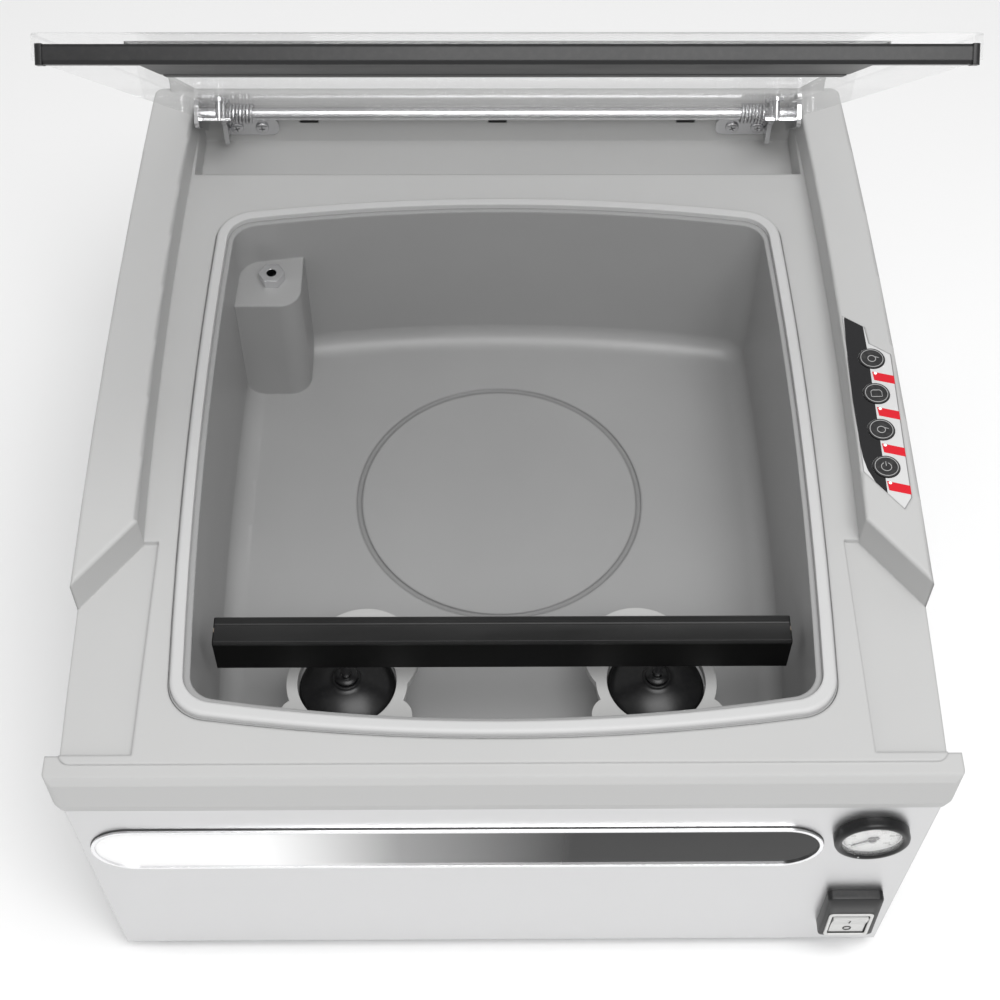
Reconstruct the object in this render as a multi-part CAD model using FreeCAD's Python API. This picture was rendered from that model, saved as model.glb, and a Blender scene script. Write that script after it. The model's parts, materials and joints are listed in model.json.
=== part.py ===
import FreeCAD, Part
import math
import os

from FreeCAD import Vector

"""Table-top chamber vacuum packing machine, millimetres, +Z up, front towards -Y.

The origin is on the table under the middle of the base. Every piece is written to
parts/NAME.step. The lid stands open at its rest angle.
"""

os.makedirs("parts", exist_ok=True)

# ---- driving dimensions -------------------------------------------------------------
body_width = 430.0
body_depth = 462.0
foot_height = 12.0
deck_height = 232.0
rail_rise = 20.0
lip_bottom = 194.0
sheet = 1.5
wall = 4.0
chamber_depth = 113.0
lid_angle = 44.75
seal_length = 301.0
gauge_diameter = 39.4

# ---- sizes that follow from them ----------------------------------------------------
half_width = body_width / 2
front = -body_depth / 2
rear = body_depth / 2
rail_top = deck_height + rail_rise
inner_rail = half_width - 28
trough_front = rear - 57
trough_floor = deck_height - 20
rear_wall = rear - 5
diagonal_back = front + 130
diagonal_front = front + 92
side_zone_drop = 3.0
base_flare_top = 6.5
base_flare_bottom = 2.5
lip_overhang = 7.0
lip_depth = 9.0

rim_gap = 0.3
gasket_inset = 1.2
gasket_width = 6.2
ridge_inset = gasket_inset + gasket_width
chamber_inset = ridge_inset + 3.1
gasket_top = deck_height + 4.1
floor_top = deck_height - chamber_depth
floor_bottom = floor_top - 5
corner_radius = 22.0

lid_under = gasket_top + 0.4
lid_thickness = 10.0
lid_half = inner_rail - 6
grip_half = lid_half - 6.6
shaft_radius = 4.0
pivot = Vector(0, rear - 12, lid_under + 4.5)
lid_rear = pivot.y - 8
lid_front = front + 3
running_fit = 0.05
spring_length = 17.0

bar_front = front + 80
bar_back = front + 96.5
bar_middle = (bar_front + bar_back) / 2
bar_top = deck_height - 20
bar_height = 26.0
bar_bottom = bar_top - bar_height
pin_radius = 2.5
piston_x = seal_length * 0.28
piston_radius = 27.0
piston_top = bar_bottom - 24

pan_top = foot_height + sheet
panel_top = lip_bottom - 0.5
trim_left = -half_width - 0.4
trim_right = half_width - 46.7
trim_z = 137.8
trim_radius = 22.0
trim_edge = 2.0
pump_axis_z = pan_top + 50
pump_y = front + body_depth * 2 / 3 - 43
gauge_x = half_width - 23.6
gauge_z = 151.3
gauge_radius = gauge_diameter / 2
gauge_proud = 6.0
dial_back = front - 1.8
dial_sheet = 0.8
needle_gap = 0.3
switch_x = half_width - 19.5
switch_bottom = 34.5
switch_top = 80.0
rocker_z = 49.3
rocker_half = 11.0
keypad_x = half_width - 11.5
button_radius = 7.0
button_pitch = 25.0
first_button_y = front + 163

motor_radius = 30.0
pump_left = -half_width + 25
pump_right = -half_width + 215
head_top = pump_axis_z + 40
valve_x = -20.0
valve_y = front + 150
transformer_centre = (half_width - 95, rear - 95)
board_x = half_width - 60
board_y = valve_y + 56


# ---- helpers ------------------------------------------------------------------------
def back(distance):
    """Y of a point this far behind the front face of the base."""
    return front + distance


def box(x0, x1, y0, y1, z0, z1):
    """Box between two opposite corners."""
    return Part.makeBox(x1 - x0, y1 - y0, z1 - z0, Vector(x0, y0, z0))


def rod(x, y, z, radius, length, axis=(0, 0, 1)):
    """Cylinder starting at a point and running along an axis."""
    return Part.makeCylinder(radius, length, Vector(x, y, z), Vector(*axis))


def tube(x, y, z, outer, inner, length, axis=(0, 0, 1)):
    """Hollow cylinder."""
    return rod(x, y, z, outer, length, axis).cut(rod(x, y, z, inner, length, axis))


def fuse(shapes):
    """One solid from several that touch or overlap."""
    return shapes[0].multiFuse(shapes[1:]).removeSplitter()


def cut(shape, tools):
    """Shape with several tools removed."""
    return shape.cut(Part.makeCompound(tools))


def group(shapes):
    """Separate solids kept together in one node."""
    return Part.makeCompound(shapes)


def prism(points, z0, z1):
    """Straight-sided upright block over a plan outline of (x, y) points."""
    loop = [Vector(x, y, z0) for x, y in points]
    face = Part.Face(Part.makePolygon(loop + [loop[0]]))
    return face.extrude(Vector(0, 0, z1 - z0))


def profile(points, x0, x1):
    """Block with a side outline of (y, z) points running from x0 to x1."""
    loop = [Vector(x0, y, z) for y, z in points]
    face = Part.Face(Part.makePolygon(loop + [loop[0]]))
    return face.extrude(Vector(x1 - x0, 0, 0))


def is_upright(edge):
    """True for an edge that runs straight up."""
    span = edge.Vertexes[-1].Point - edge.Vertexes[0].Point
    return abs(span.z) > 1 and abs(span.x) < 0.01 and abs(span.y) < 0.01


def lies_at(edge, z):
    """True for an edge that lies wholly at one height."""
    return all(abs(vertex.Point.z - z) < 0.01 for vertex in edge.Vertexes)


def round_edges(shape, radius, wanted):
    """Fillet every edge the test function picks."""
    return shape.makeFillet(radius, [edge for edge in shape.Edges if wanted(edge)])


def bowed_block(corners, middles, z0, z1, radius):
    """Upright block with four bowed sides and rounded corners.

    corners run front left, front right, rear right, rear left; middles are the middle
    points of the front, right, rear and left sides, or None for a straight side.
    """
    sides = []
    for index, middle in enumerate(middles):
        start = Vector(*corners[index], z0)
        end = Vector(*corners[(index + 1) % 4], z0)
        if middle:
            sides.append(Part.Arc(start, Vector(*middle, z0), end).toShape())
        else:
            sides.append(Part.makeLine(start, end))
    block = Part.Face(Part.Wire(sides)).extrude(Vector(0, 0, z1 - z0))
    return round_edges(block, radius, is_upright)


def chamber_block(inset, z0, z1):
    """Block with the plan of the chamber opening, made smaller by an inset."""
    front_x = half_width - 49.5 - inset
    rear_x = half_width - 46.5 - inset
    side_x = half_width - 43.5 - inset
    corner_front = back(26.5) + inset
    corner_rear = rear - 93.5 - inset
    corners = [(-front_x, corner_front), (front_x, corner_front),
               (rear_x, corner_rear), (-rear_x, corner_rear)]
    middles = [(0, back(13) + inset), (side_x, back(197)),
               (0, rear - 80 - inset), (-side_x, back(197))]
    return bowed_block(corners, middles, z0, z1, corner_radius - inset * 0.7)


def cover_block(inset, z0, z1):
    """Block with the plan of the top cover, made smaller by an inset."""
    side = half_width - inset
    corners = [(-side, front + inset), (side, front + inset),
               (side - 1, rear - inset), (-side + 1, rear - inset)]
    middles = [None, (side + 4, back(230)), None, (-side - 4, back(230))]
    return bowed_block(corners, middles, z0, z1, 6.0 - inset * 0.5)


def deck_space(grow, z0):
    """Space over the deck: between the rails behind, full width in front."""
    side = inner_rail + grow
    outside = half_width + 20
    back_edge = rear_wall + grow
    step_back = diagonal_back + grow * 0.4
    step_front = diagonal_front + grow * 0.4
    points = [Vector(-side, back_edge, z0), Vector(-side - 4, back(260), z0),
              Vector(-side - 1, step_back, z0)]
    left = Part.Arc(*points).toShape()
    right = Part.Arc(*[Vector(-p.x, p.y, z0) for p in reversed(points)]).toShape()
    slope = (step_back - step_front) / (half_width - inner_rail)
    edge_y = step_back - slope * (outside - side - 1)
    left_step = [Vector(-side - 1, step_back, z0), Vector(-outside, edge_y, z0),
                 Vector(-outside, front - 40, z0)]
    right_step = [Vector(-p.x, p.y, z0) for p in reversed(left_step)]
    loop = left_step + right_step
    bottom = Part.makePolygon(loop).Edges
    top = [Part.makeLine(points[0], Vector(side, back_edge, z0))]
    wire = Part.Wire(Part.__sortEdges__([left, right] + bottom + top))
    return Part.Face(wire).extrude(Vector(0, 0, rail_top + 30 - z0))


def side_zone(side, grow, z0):
    """Lowered strip beside the deck in front of the diagonal step."""
    inner = side * (inner_rail - 7 - grow)
    outer = side * (half_width + 20)
    points = [(inner, back(5) - grow), (inner, diagonal_back + grow), (outer, diagonal_back + grow),
              (outer, back(5) - grow)]
    strip = prism(points, z0, rail_top + 30)
    return strip.common(deck_space(grow, z0 - 1))


def trough_space(grow):
    """Space of the hinge trough behind the deck."""
    return profile([(trough_front - grow, deck_height + 30), (trough_front - grow, deck_height - 2),
                    (trough_front + 6 - grow, trough_floor - grow),
                    (rear_wall + grow, trough_floor - grow), (rear_wall + grow, deck_height + 30)],
                   -inner_rail - grow, inner_rail + grow)


def control_block(grow, z0, z1):
    """Upright block with the plan of the keypad film, made larger all round."""
    x0 = half_width - 24
    x1 = half_width + 1
    points = [(x0 + 2, back(269)), (x0 + 13, back(261)), (x0 + 14, back(249)), (x1, back(241)),
              (x1 - 2.5, back(143)), (x1 - 7, back(136)), (x0, back(160))]
    loop = [Vector(x, y, z0) for x, y in points]
    outline = Part.Face(Part.makePolygon(loop + [loop[0]]))
    if grow:
        outline = Part.Face(outline.makeOffset2D(grow, 2).OuterWire)
    return outline.extrude(Vector(0, 0, z1 - z0))


def button_centres():
    """Plan centres of the four keypad buttons, front one first."""
    return [(keypad_x - 0.3 + 0.7 * n, first_button_y + n * button_pitch) for n in range(4)]


# ---- top cover and chamber ----------------------------------------------------------
def cover_lip():
    """Full-width rounded bumper along the front of the cover."""
    y0 = front - lip_depth
    y1 = front + 5
    side = half_width + lip_overhang
    outline = [(y1, lip_bottom), (y0 + 3, lip_bottom), (y0, lip_bottom + 10),
               (y0, deck_height - 6), (y0 + 2, deck_height - 1), (y1, deck_height - 1)]
    bar = profile(outline, -side, side)
    return round_edges(bar, 5.0, lambda e: abs(abs(e.Vertexes[0].Point.x) - side) < 0.1
                       and abs(abs(e.Vertexes[-1].Point.x) - side) < 0.1
                       and e.Vertexes[0].Point.y < front and e.Vertexes[-1].Point.y < front
                       and abs(e.Vertexes[0].Point.z - e.Vertexes[-1].Point.z) > 6)


def top_cover():
    """Moulded cover: deck, rails, front lip, hinge trough and chamber opening."""
    outer = cover_block(0, lip_bottom, rail_top)
    zones = [side_zone(side, 0, deck_height - side_zone_drop) for side in (-1, 1)]
    outer = cut(outer, [deck_space(0, deck_height), trough_space(0)] + zones)
    outer = round_edges(outer, 2.0, lambda e: lies_at(e, rail_top))
    hollow = cover_block(wall, lip_bottom - 1, rail_top - wall)
    zones = [side_zone(side, wall, deck_height - side_zone_drop - wall) for side in (-1, 1)]
    hollow = cut(hollow, [deck_space(wall, deck_height - wall), trough_space(wall)] + zones)
    lip = cover_lip()
    lip_hollow = box(-half_width + wall, half_width - wall, front + wall, front + 12, lip_bottom - 1,
                     deck_height - side_zone_drop - wall)
    shell = cut(fuse([outer, lip]), [hollow, lip_hollow, chamber_block(0, 0, rail_top + 10)])
    slots = [box(x - 6, x + 6, rear_wall - 1, rear - 1, deck_height - 5, deck_height - 1)
             for x in (-inner_rail * 0.64, 0, inner_rail * 0.64)]
    recess = control_block(0.3, rail_top - 1.0, rail_top + 5)
    holes = [rod(x, y, rail_top - wall - 1, button_radius + 0.4, wall + 6)
             for x, y in button_centres()]
    fins = []
    for side in (-1, 1):
        points = [(side * (inner_rail + 1), rail_top - 1), (side * (inner_rail + 17), rail_top - 1),
                  (side * (inner_rail + 17), rail_top + 11)]
        loop = [Vector(x, rear - 4, z) for x, z in points]
        fins.append(Part.Face(Part.makePolygon(loop + [loop[0]])).extrude(Vector(0, 3, 0)))
    screw_holes = [rod(x, rear_wall - 1, z, 2.1, 9, (0, 1, 0)) for x, z in hinge_screw_places()]
    return fuse([cut(shell, slots + [recess] + holes + screw_holes)] + fins)


def chamber_tub():
    """Vacuum chamber with gasket groove, rim flange, floor ring and suction boss."""
    outside = chamber_block(chamber_inset - wall - 1, floor_bottom, deck_height - 4)
    flange = chamber_block(-4, deck_height - 9, deck_height - wall - 0.3)
    rim = chamber_block(rim_gap, deck_height - 9, deck_height)
    ridge = chamber_block(ridge_inset, deck_height - 5, deck_height + 1)
    solid = fuse([outside, flange, rim, ridge])
    inside = chamber_block(chamber_inset, floor_top, deck_height + 20)
    inside = round_edges(inside, 12.0, lambda e: lies_at(e, floor_top))
    groove = chamber_block(gasket_inset, deck_height - 4, deck_height + 9)
    groove = groove.cut(chamber_block(ridge_inset, deck_height - 6, deck_height + 10))
    ring = tube(0, back(240), floor_top - 1, 87, 84, 5)
    shell = cut(solid, [inside, groove])
    boss = cut(suction_boss(), [chamber_block(-20, floor_bottom - 1, floor_top + 90).cut(
        chamber_block(chamber_inset - 2, floor_bottom - 2, floor_top + 91))])
    shell = cut(fuse([shell, boss]), [ring])
    bore_x, bore_y = suction_centre()
    sockets = [rod(side * piston_x, bar_middle, floor_bottom - 1, 4, 8) for side in (-1, 1)]
    return cut(shell, [rod(bore_x, bore_y, floor_bottom - 1, 6, chamber_depth)] + sockets)


def suction_centre():
    """Plan centre of the suction port in the rear left corner of the chamber."""
    return -half_width + 77, rear - 117


def suction_boss():
    """Column carrying the suction port above the food."""
    x, y = suction_centre()
    column = box(x - 30, x + 18, y - 22, y + 35, floor_bottom + 0.5, deck_height - 30)
    column = round_edges(column, 13.0, lambda e: is_upright(e) and e.Vertexes[0].Point.x > x
                         and e.Vertexes[0].Point.y < y)
    return column


def suction_plug():
    """Chrome hexagon plug with a cross drilling in the top of the boss."""
    x, y = suction_centre()
    z = deck_height - 30
    points = [(x + 8 * math.cos(math.radians(60 * n)), y + 8 * math.sin(math.radians(60 * n)))
              for n in range(6)]
    head = prism(points, z, z + 6)
    stem = rod(x, y, z - 12, 6, 12)
    return cut(fuse([head, stem]), [rod(x, y, z - 13, 3, 20)])


def chamber_gasket():
    """Soft ring in the groove round the chamber opening."""
    ring = chamber_block(gasket_inset, deck_height - 4, gasket_top)
    ring = round_edges(ring, 2.0, lambda e: lies_at(e, gasket_top))
    hole = chamber_block(ridge_inset, deck_height - 5, gasket_top + 1)
    return ring.cut(hole)


# ---- base ---------------------------------------------------------------------------
def base_half(z):
    """Half width of the flared base at a height."""
    rise = (z - foot_height) / (panel_top - foot_height)
    return half_width + base_flare_bottom + rise * (base_flare_top - base_flare_bottom)


def flared_sheet(y0, y1):
    """Upright sheet across the whole base, wider at the top."""
    corners = [(-base_half(foot_height), foot_height), (base_half(foot_height), foot_height),
               (base_half(panel_top), panel_top), (-base_half(panel_top), panel_top)]
    loop = [Vector(x, y0, z) for x, z in corners]
    return Part.Face(Part.makePolygon(loop + loop[:1])).extrude(Vector(0, y1 - y0, 0))


def base_pan():
    """Folded floor tray that carries everything inside."""
    x = base_half(foot_height) - sheet
    y = half_depth_inside()
    outer = box(-x, x, -y, y, foot_height, foot_height + 16)
    inner = box(-x + sheet, x - sheet, -y + sheet, y - sheet, pan_top, foot_height + 17)
    vents = [box(column * 30 - 10, column * 30 + 10, pump_y - 2 + row * 12, pump_y + 2 + row * 12,
                 foot_height - 1, pan_top + 1) for column in (3, 4, 5) for row in range(-3, 4)]
    holes = [rod(side * (x + 1), y, z, 1.8, 6, (-side, 0, 0)) for side in (-1, 1)
             for y, z in panel_screw_places()]
    return cut(outer, [inner] + vents + holes)


def half_depth_inside():
    """Half depth of the space between the front and rear panels."""
    return body_depth / 2 - sheet


def front_panel():
    """Front sheet with the gauge and switch cut-outs."""
    plate = flared_sheet(front, front + sheet)
    gauge_hole = rod(gauge_x, front - 1, gauge_z, gauge_radius - 2, 4, (0, 1, 0))
    switch_hole = box(switch_x - 12, switch_x + 12, front - 1, front + 3, rocker_z - 14.2, rocker_z + 14.2)
    return cut(plate, [gauge_hole, switch_hole])


def side_panel(side):
    """Side sheet with a top flange under the cover skirt."""
    low, high = base_half(foot_height), base_half(panel_top)
    y = half_depth_inside()
    corners = [(low, foot_height), (high, panel_top), (high - sheet, panel_top),
               (low - sheet, foot_height)]
    loop = [Vector(side * x, -y, z) for x, z in corners]
    plate = Part.Face(Part.makePolygon(loop + loop[:1])).extrude(Vector(0, 2 * y, 0))
    edges = [side * (high - sheet / 2), side * (high - 20)]
    flange = box(min(edges), max(edges), -y + 50, y, panel_top - sheet, panel_top)
    holes = [rod(side * (low - 5), py, pz, 1.8, 9, (side, 0, 0)) for py, pz in panel_screw_places()]
    return cut(fuse([plate, flange]), holes)


def panel_screw_places():
    """Side-panel screw positions as (y, z)."""
    return [(back(distance), foot_height + 9) for distance in (40, 167, 294, 421)]


def side_panel_left():
    """Left side sheet."""
    return side_panel(-1)


def side_panel_right():
    """Right side sheet."""
    return side_panel(1)


def rear_panel():
    """Rear sheet with louvre slots, the inlet opening and the exhaust hole."""
    plate = flared_sheet(rear - sheet, rear)
    slots = [box(-60 + 9 * n, -56 + 9 * n, rear - 3, rear + 1, 60, 130) for n in range(15)]
    inlet_hole = box(-half_width + 30, -half_width + 57, rear - 3, rear + 1, 40, 60)
    exhaust_hole = rod(half_width - 45, rear - 3, 60, 8, 6, (0, 1, 0))
    return cut(plate, slots + [inlet_hole, exhaust_hole])


def pan_head(x, y, z, axis, radius=3.6, shank=5.0):
    """Pan-head screw whose head stands on a surface; axis points out of the surface."""
    direction = Vector(*axis)
    head = rod(x, y, z, radius, 2.2, axis)
    rim = [edge for edge in head.Edges if (edge.BoundBox.Center - Vector(x, y, z)).dot(direction) > 2]
    head = head.makeFillet(1.0, rim)
    stem = Part.makeCylinder(radius / 2, shank, Vector(x, y, z) - direction * shank, direction)
    drive = Part.makeCylinder(radius * 0.35, 1.2, Vector(x, y, z) + direction * 1.2, direction)
    return fuse([head, stem]).cut(drive)


def panel_screws():
    """Screws through the side sheets into the floor tray."""
    return group([pan_head(side * (base_half(z) + 0.12), y, z, (side, 0, 0), shank=2 * sheet)
                  for side in (-1, 1) for y, z in panel_screw_places()])


def foot_places():
    """Centres of the four feet."""
    return [(sx * (half_width - 32), sy * (body_depth / 2 - 34)) for sx in (-1, 1) for sy in (-1, 1)]


def rubber_feet():
    """Four tapered rubber feet with a screw recess."""
    feet = []
    for x, y in foot_places():
        cone = Part.makeCone(13, 15, foot_height, Vector(x, y, 0))
        feet.append(cone.cut(rod(x, y, -1, 5, 7)))
    return group(feet)


# ---- front trim, gauge and switch ---------------------------------------------------
def stadium(x0, x1, z_middle, radius, y0, y1):
    """Plate with round ends standing on the front face."""
    ends = [rod(x, y0, z_middle, radius, y1 - y0, (0, 1, 0)) for x in (x0 + radius, x1 - radius)]
    middle = box(x0 + radius, x1 - radius, y0, y1, z_middle - radius, z_middle + radius)
    return fuse([middle] + ends)


def trim_strip():
    """Polished plate across the front."""
    return stadium(trim_left + trim_edge, trim_right - trim_edge, trim_z, trim_radius - trim_edge,
                   front - 0.8, front)


def trim_bezel():
    """Thin raised frame round the polished plate."""
    outer = stadium(trim_left, trim_right, trim_z, trim_radius, front - 1.8, front)
    return outer.cut(stadium(trim_left + trim_edge, trim_right - trim_edge, trim_z,
                             trim_radius - trim_edge, front - 3, front + 1))


def gauge_case():
    """Round case of the vacuum gauge with its hose tail behind the front panel."""
    case = rod(gauge_x, dial_back, gauge_z, gauge_radius - 2.3, front + 25 - dial_back, (0, 1, 0))
    tail = rod(gauge_x, front + 25, gauge_z, 3, 12, (0, 1, 0))
    return fuse([case, tail])


def gauge_bezel():
    """Black ring standing proud of the panel."""
    y0 = front - gauge_proud
    ring = rod(gauge_x, y0, gauge_z, gauge_radius, gauge_proud, (0, 1, 0))
    rim = [e for e in ring.Edges if abs(e.BoundBox.Center.y - y0) < 0.1]
    ring = ring.makeFillet(1.5, rim)
    seat = rod(gauge_x, dial_back, gauge_z, gauge_radius - 2.3, 5, (0, 1, 0))
    return cut(ring, [rod(gauge_x, y0 - 1, gauge_z, gauge_radius - 4, 12, (0, 1, 0)), seat])


def gauge_dial():
    """Printed face of the gauge."""
    return rod(gauge_x, dial_back - dial_sheet, gauge_z, gauge_radius - 4.1, dial_sheet, (0, 1, 0))


def gauge_needle():
    """Pointer with its hub, resting at the zero end of the scale."""
    y = dial_back - dial_sheet - needle_gap
    hub = rod(gauge_x, y - 1.1, gauge_z, 2.2, 1.1, (0, 1, 0))
    arm = prism([(-0.9, -4), (0.9, -4), (0.3, 12), (-0.3, 12)], 0, 0.6)
    arm.rotate(Vector(0, 0, 0), Vector(1, 0, 0), 90)
    arm.translate(Vector(gauge_x, y - 0.2, gauge_z))
    arm.rotate(Vector(gauge_x, y, gauge_z), Vector(0, 1, 0), -125)
    return fuse([hub, arm])


def gauge_glass():
    """Clear window of the gauge."""
    y = dial_back - dial_sheet - 2 * needle_gap - 1.1
    return rod(gauge_x, y - 0.9, gauge_z, gauge_radius - 4.1, 0.9, (0, 1, 0))


def switch_housing():
    """Frame of the power switch with a sloping hood over the rocker."""
    x0 = switch_x - 15.5
    x1 = switch_x + 15.5
    outline = [(front, switch_bottom), (front - 8, switch_bottom + 1.5), (front - 7, switch_top - 8),
               (front - 5.5, switch_top - 1), (front, switch_top)]
    frame = profile(outline, x0, x1)
    body = box(switch_x - 11.8, switch_x + 11.8, front, front + 22, rocker_z - 14, rocker_z + 14)
    pocket = box(switch_x - 10.3, switch_x + 10.3, front - 20, front + 9, rocker_z - rocker_half - 0.5,
                 rocker_z + rocker_half + 0.5)
    terminals = [box(switch_x + side * 6 - 0.4, switch_x + side * 6 + 0.4, front + 21.9, front + 29,
                     rocker_z + dz - 3, rocker_z + dz + 3) for side in (-1, 1) for dz in (-8, 8)]
    return fuse([frame, body] + terminals).cut(pocket)


def power_rocker():
    """Rocker of the power switch, pressed at the bottom."""
    axis_y = front - 1
    outline = [(axis_y - 7, rocker_z - rocker_half + 0.7), (axis_y - 6, rocker_z),
               (axis_y - 7, rocker_z + rocker_half - 0.7), (axis_y + 1, rocker_z + 9),
               (axis_y + 4, rocker_z + 2), (axis_y + 4, rocker_z - 2), (axis_y + 1, rocker_z - 9)]
    rocker = profile(outline, switch_x - 9.8, switch_x + 9.8)
    rocker.rotate(Vector(0, axis_y, rocker_z), Vector(1, 0, 0), 5)
    return rocker


# ---- keypad -------------------------------------------------------------------------
def control_film():
    """Printed keypad film lying in the recess of the right rail."""
    film = control_block(0, rail_top - 1.0, rail_top - 0.2)
    holes = [rod(x, y, rail_top - 2, button_radius + 0.4, 4) for x, y in button_centres()]
    lights = [rod(x, y, rail_top - 2, 1.2, 4) for x, y in light_centres()]
    return cut(film, holes + lights)


def light_centres():
    """Plan centres of the pilot lights, each one in front of its button."""
    return [(x + 0.6, y - 10.5) for x, y in button_centres()]


def pilot_lights():
    """Four small lenses flush with the keypad film."""
    return group([rod(x, y, rail_top - 1, 1.2, 0.9) for x, y in light_centres()])


def keypad_button(index):
    """Round push button with a shallow dish in its face."""
    x, y = button_centres()[index]
    cap = rod(x, y, rail_top - 3, button_radius, 3.4)
    stem = rod(x, y, rail_top - 7, 2, 4.01)
    dish = Part.makeSphere(40, Vector(x, y, rail_top + 0.4 + 39.6))
    return fuse([cap, stem]).cut(dish)


# ---- lid ----------------------------------------------------------------------------
def opened(shape):
    """Shape drawn for the closed lid, turned up to the open rest angle."""
    shape.rotate(pivot, Vector(1, 0, 0), -lid_angle)
    return shape


def lid_plate():
    """Clear acrylic plate with a groove for the counter bar."""
    plate = box(-lid_half, lid_half, lid_front, lid_rear, lid_under, lid_under + lid_thickness)
    plate = round_edges(plate, 5.0, is_upright)
    plate = round_edges(plate, 1.0, lambda e: e.BoundBox.ZMin > lid_under + lid_thickness - 0.1)
    groove = box(-seal_length / 2 + 5, seal_length / 2 - 5, lid_front + 4, bar_middle + 9,
                 lid_under - 1, lid_under + 7)
    holes = [rod(x, y, lid_under - 1, 2.2, lid_thickness + 2) for x, y in arm_screw_places()]
    return opened(cut(plate, [groove] + holes))


def lid_front_bar():
    """Black grip bar along the front edge of the lid."""
    outline = [(lid_front, lid_under - 2.4), (lid_front - 5, lid_under - 2.4),
               (lid_front - 6, lid_under - 1), (lid_front - 6, lid_under + 4),
               (lid_front - 5, lid_under + 5.1), (lid_front, lid_under + 5.1)]
    return opened(profile(outline, -grip_half, grip_half))


def lid_end_caps():
    """Rounded caps closing the ends of the grip bar."""
    caps = []
    for side in (-1, 1):
        inner = side * grip_half
        cap = box(min(inner, inner + side * 3), max(inner, inner + side * 3), lid_front - 6.2,
                  lid_front, lid_under - 2.6, lid_under + 5.3)
        outer_x = inner + side * 3
        cap = round_edges(cap, 2.0, lambda e: is_upright(e) and abs(e.BoundBox.Center.x - outer_x) < 0.1
                          and e.BoundBox.Center.y < lid_front - 3)
        caps.append(cap)
    return opened(group(caps))


def counter_bar():
    """Black carrier set in the underside of the lid, from its front edge to the sealing bar."""
    bar = box(-seal_length / 2 + 5, seal_length / 2 - 5, lid_front + 4, bar_middle + 9,
              lid_under + 0.4, lid_under + 7)
    slot = box(-seal_length / 2, seal_length / 2, bar_middle - 5, bar_middle + 5,
               lid_under, lid_under + 3)
    return opened(bar.cut(slot))


def silicone_strip():
    """Soft strip the bag is pressed against."""
    return opened(box(-seal_length / 2 + 6, seal_length / 2 - 6, bar_middle - 5, bar_middle + 5,
                      lid_under, lid_under + 3))


def arm_screw_places():
    """Plan centres of the screws holding the hinge arms to the lid."""
    return [(side * (lid_half - 11), lid_rear - distance) for side in (-1, 1) for distance in (8, 24)]


def lid_hinge_arms():
    """Chrome arms along the sides of the lid, joining it to the hinge shaft."""
    arms = []
    arm_front = lid_rear - 32
    for side in (-1, 1):
        faces = [side * (lid_half + 0.3), side * (lid_half + 3.0)]
        low, high = min(faces), max(faces)
        eye = rod(low, pivot.y, pivot.z, 7, high - low, (1, 0, 0))
        web = box(low, high, arm_front, pivot.y, lid_under - 6, lid_under + lid_thickness + 1)
        web = round_edges(web, 5.0, lambda e: e.BoundBox.XLength > 1 and e.BoundBox.YLength < 0.1
                          and e.BoundBox.ZLength < 0.1 and e.BoundBox.YMax < arm_front + 1)
        foot_x = [side * (lid_half - 18), side * (lid_half + 1)]
        foot = box(min(foot_x), max(foot_x), arm_front + 6, lid_rear - 2, lid_under - 1.6, lid_under)
        bores = [rod(-half_width, pivot.y, pivot.z, shaft_radius, body_width, (1, 0, 0))]
        bores += [rod(x, y, lid_under - 9, 2.2, 12) for x, y in arm_screw_places()]
        arms.append(cut(fuse([eye, web, foot]), bores))
    return opened(group(arms))


def lid_arm_screws():
    """Screws through the lid into the hinge arms."""
    screws = []
    for x, y in arm_screw_places():
        head = rod(x, y, lid_under + lid_thickness, 4.5, 2.5)
        shank = rod(x, y, lid_under - 1.6, 2.2, lid_thickness + 2.1)
        screws.append(fuse([head, shank]).cut(rod(x, y, lid_under + lid_thickness + 1.2, 1.6, 3)))
    return opened(group(screws))


def hinge_shaft():
    """Steel shaft joining both hinges; it turns with the lid."""
    return rod(-lid_half - 2.5, pivot.y, pivot.z, shaft_radius, 2 * lid_half + 5, (1, 0, 0))


def hinge_screw_places():
    """Screw positions of the hinge brackets as (x, z)."""
    low = deck_height - 6.5
    return [(side * x, low) for side in (-1, 1) for x in (inner_rail - 21.5, inner_rail - 37.5)]


def hinge_brackets():
    """Steel brackets on the rear wall, each with an eye for the shaft."""
    brackets = []
    for side in (-1, 1):
        x0 = side * (lid_half - 8)
        x1 = side * (lid_half - 42)
        plate = box(min(x0, x1), max(x0, x1), rear_wall - 2, rear_wall, deck_height - 13, deck_height)
        plate = round_edges(plate, 5.0, lambda e: abs(e.BoundBox.XMin - x1) < 0.1
                            and abs(e.BoundBox.XMax - x1) < 0.1 and e.BoundBox.YLength > 1)
        ear_x = side * (lid_half - 11)
        low, high = min(x0, ear_x), max(x0, ear_x)
        eye = rod(low, pivot.y, pivot.z, 7, high - low, (1, 0, 0))
        ear = box(low, high, pivot.y - 4, rear_wall, deck_height - 13, pivot.z)
        eye_space = box(low - 1, high + 1, rear_wall, rear + 9, deck_height - 20, pivot.z + 20)
        bore = rod(-half_width, pivot.y, pivot.z, shaft_radius + running_fit, body_width, (1, 0, 0))
        holes = [rod(x, rear_wall - 5, z, 2.1, 9, (0, 1, 0)) for x, z in hinge_screw_places()]
        brackets.append(cut(fuse([plate, eye, ear]), [bore, eye_space] + holes))
    return group(brackets)


def hinge_screws():
    """Screws fixing the hinge brackets to the rear wall."""
    return group([pan_head(x, rear_wall - 2, z, (0, -1, 0), 4.2) for x, z in hinge_screw_places()])


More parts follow.
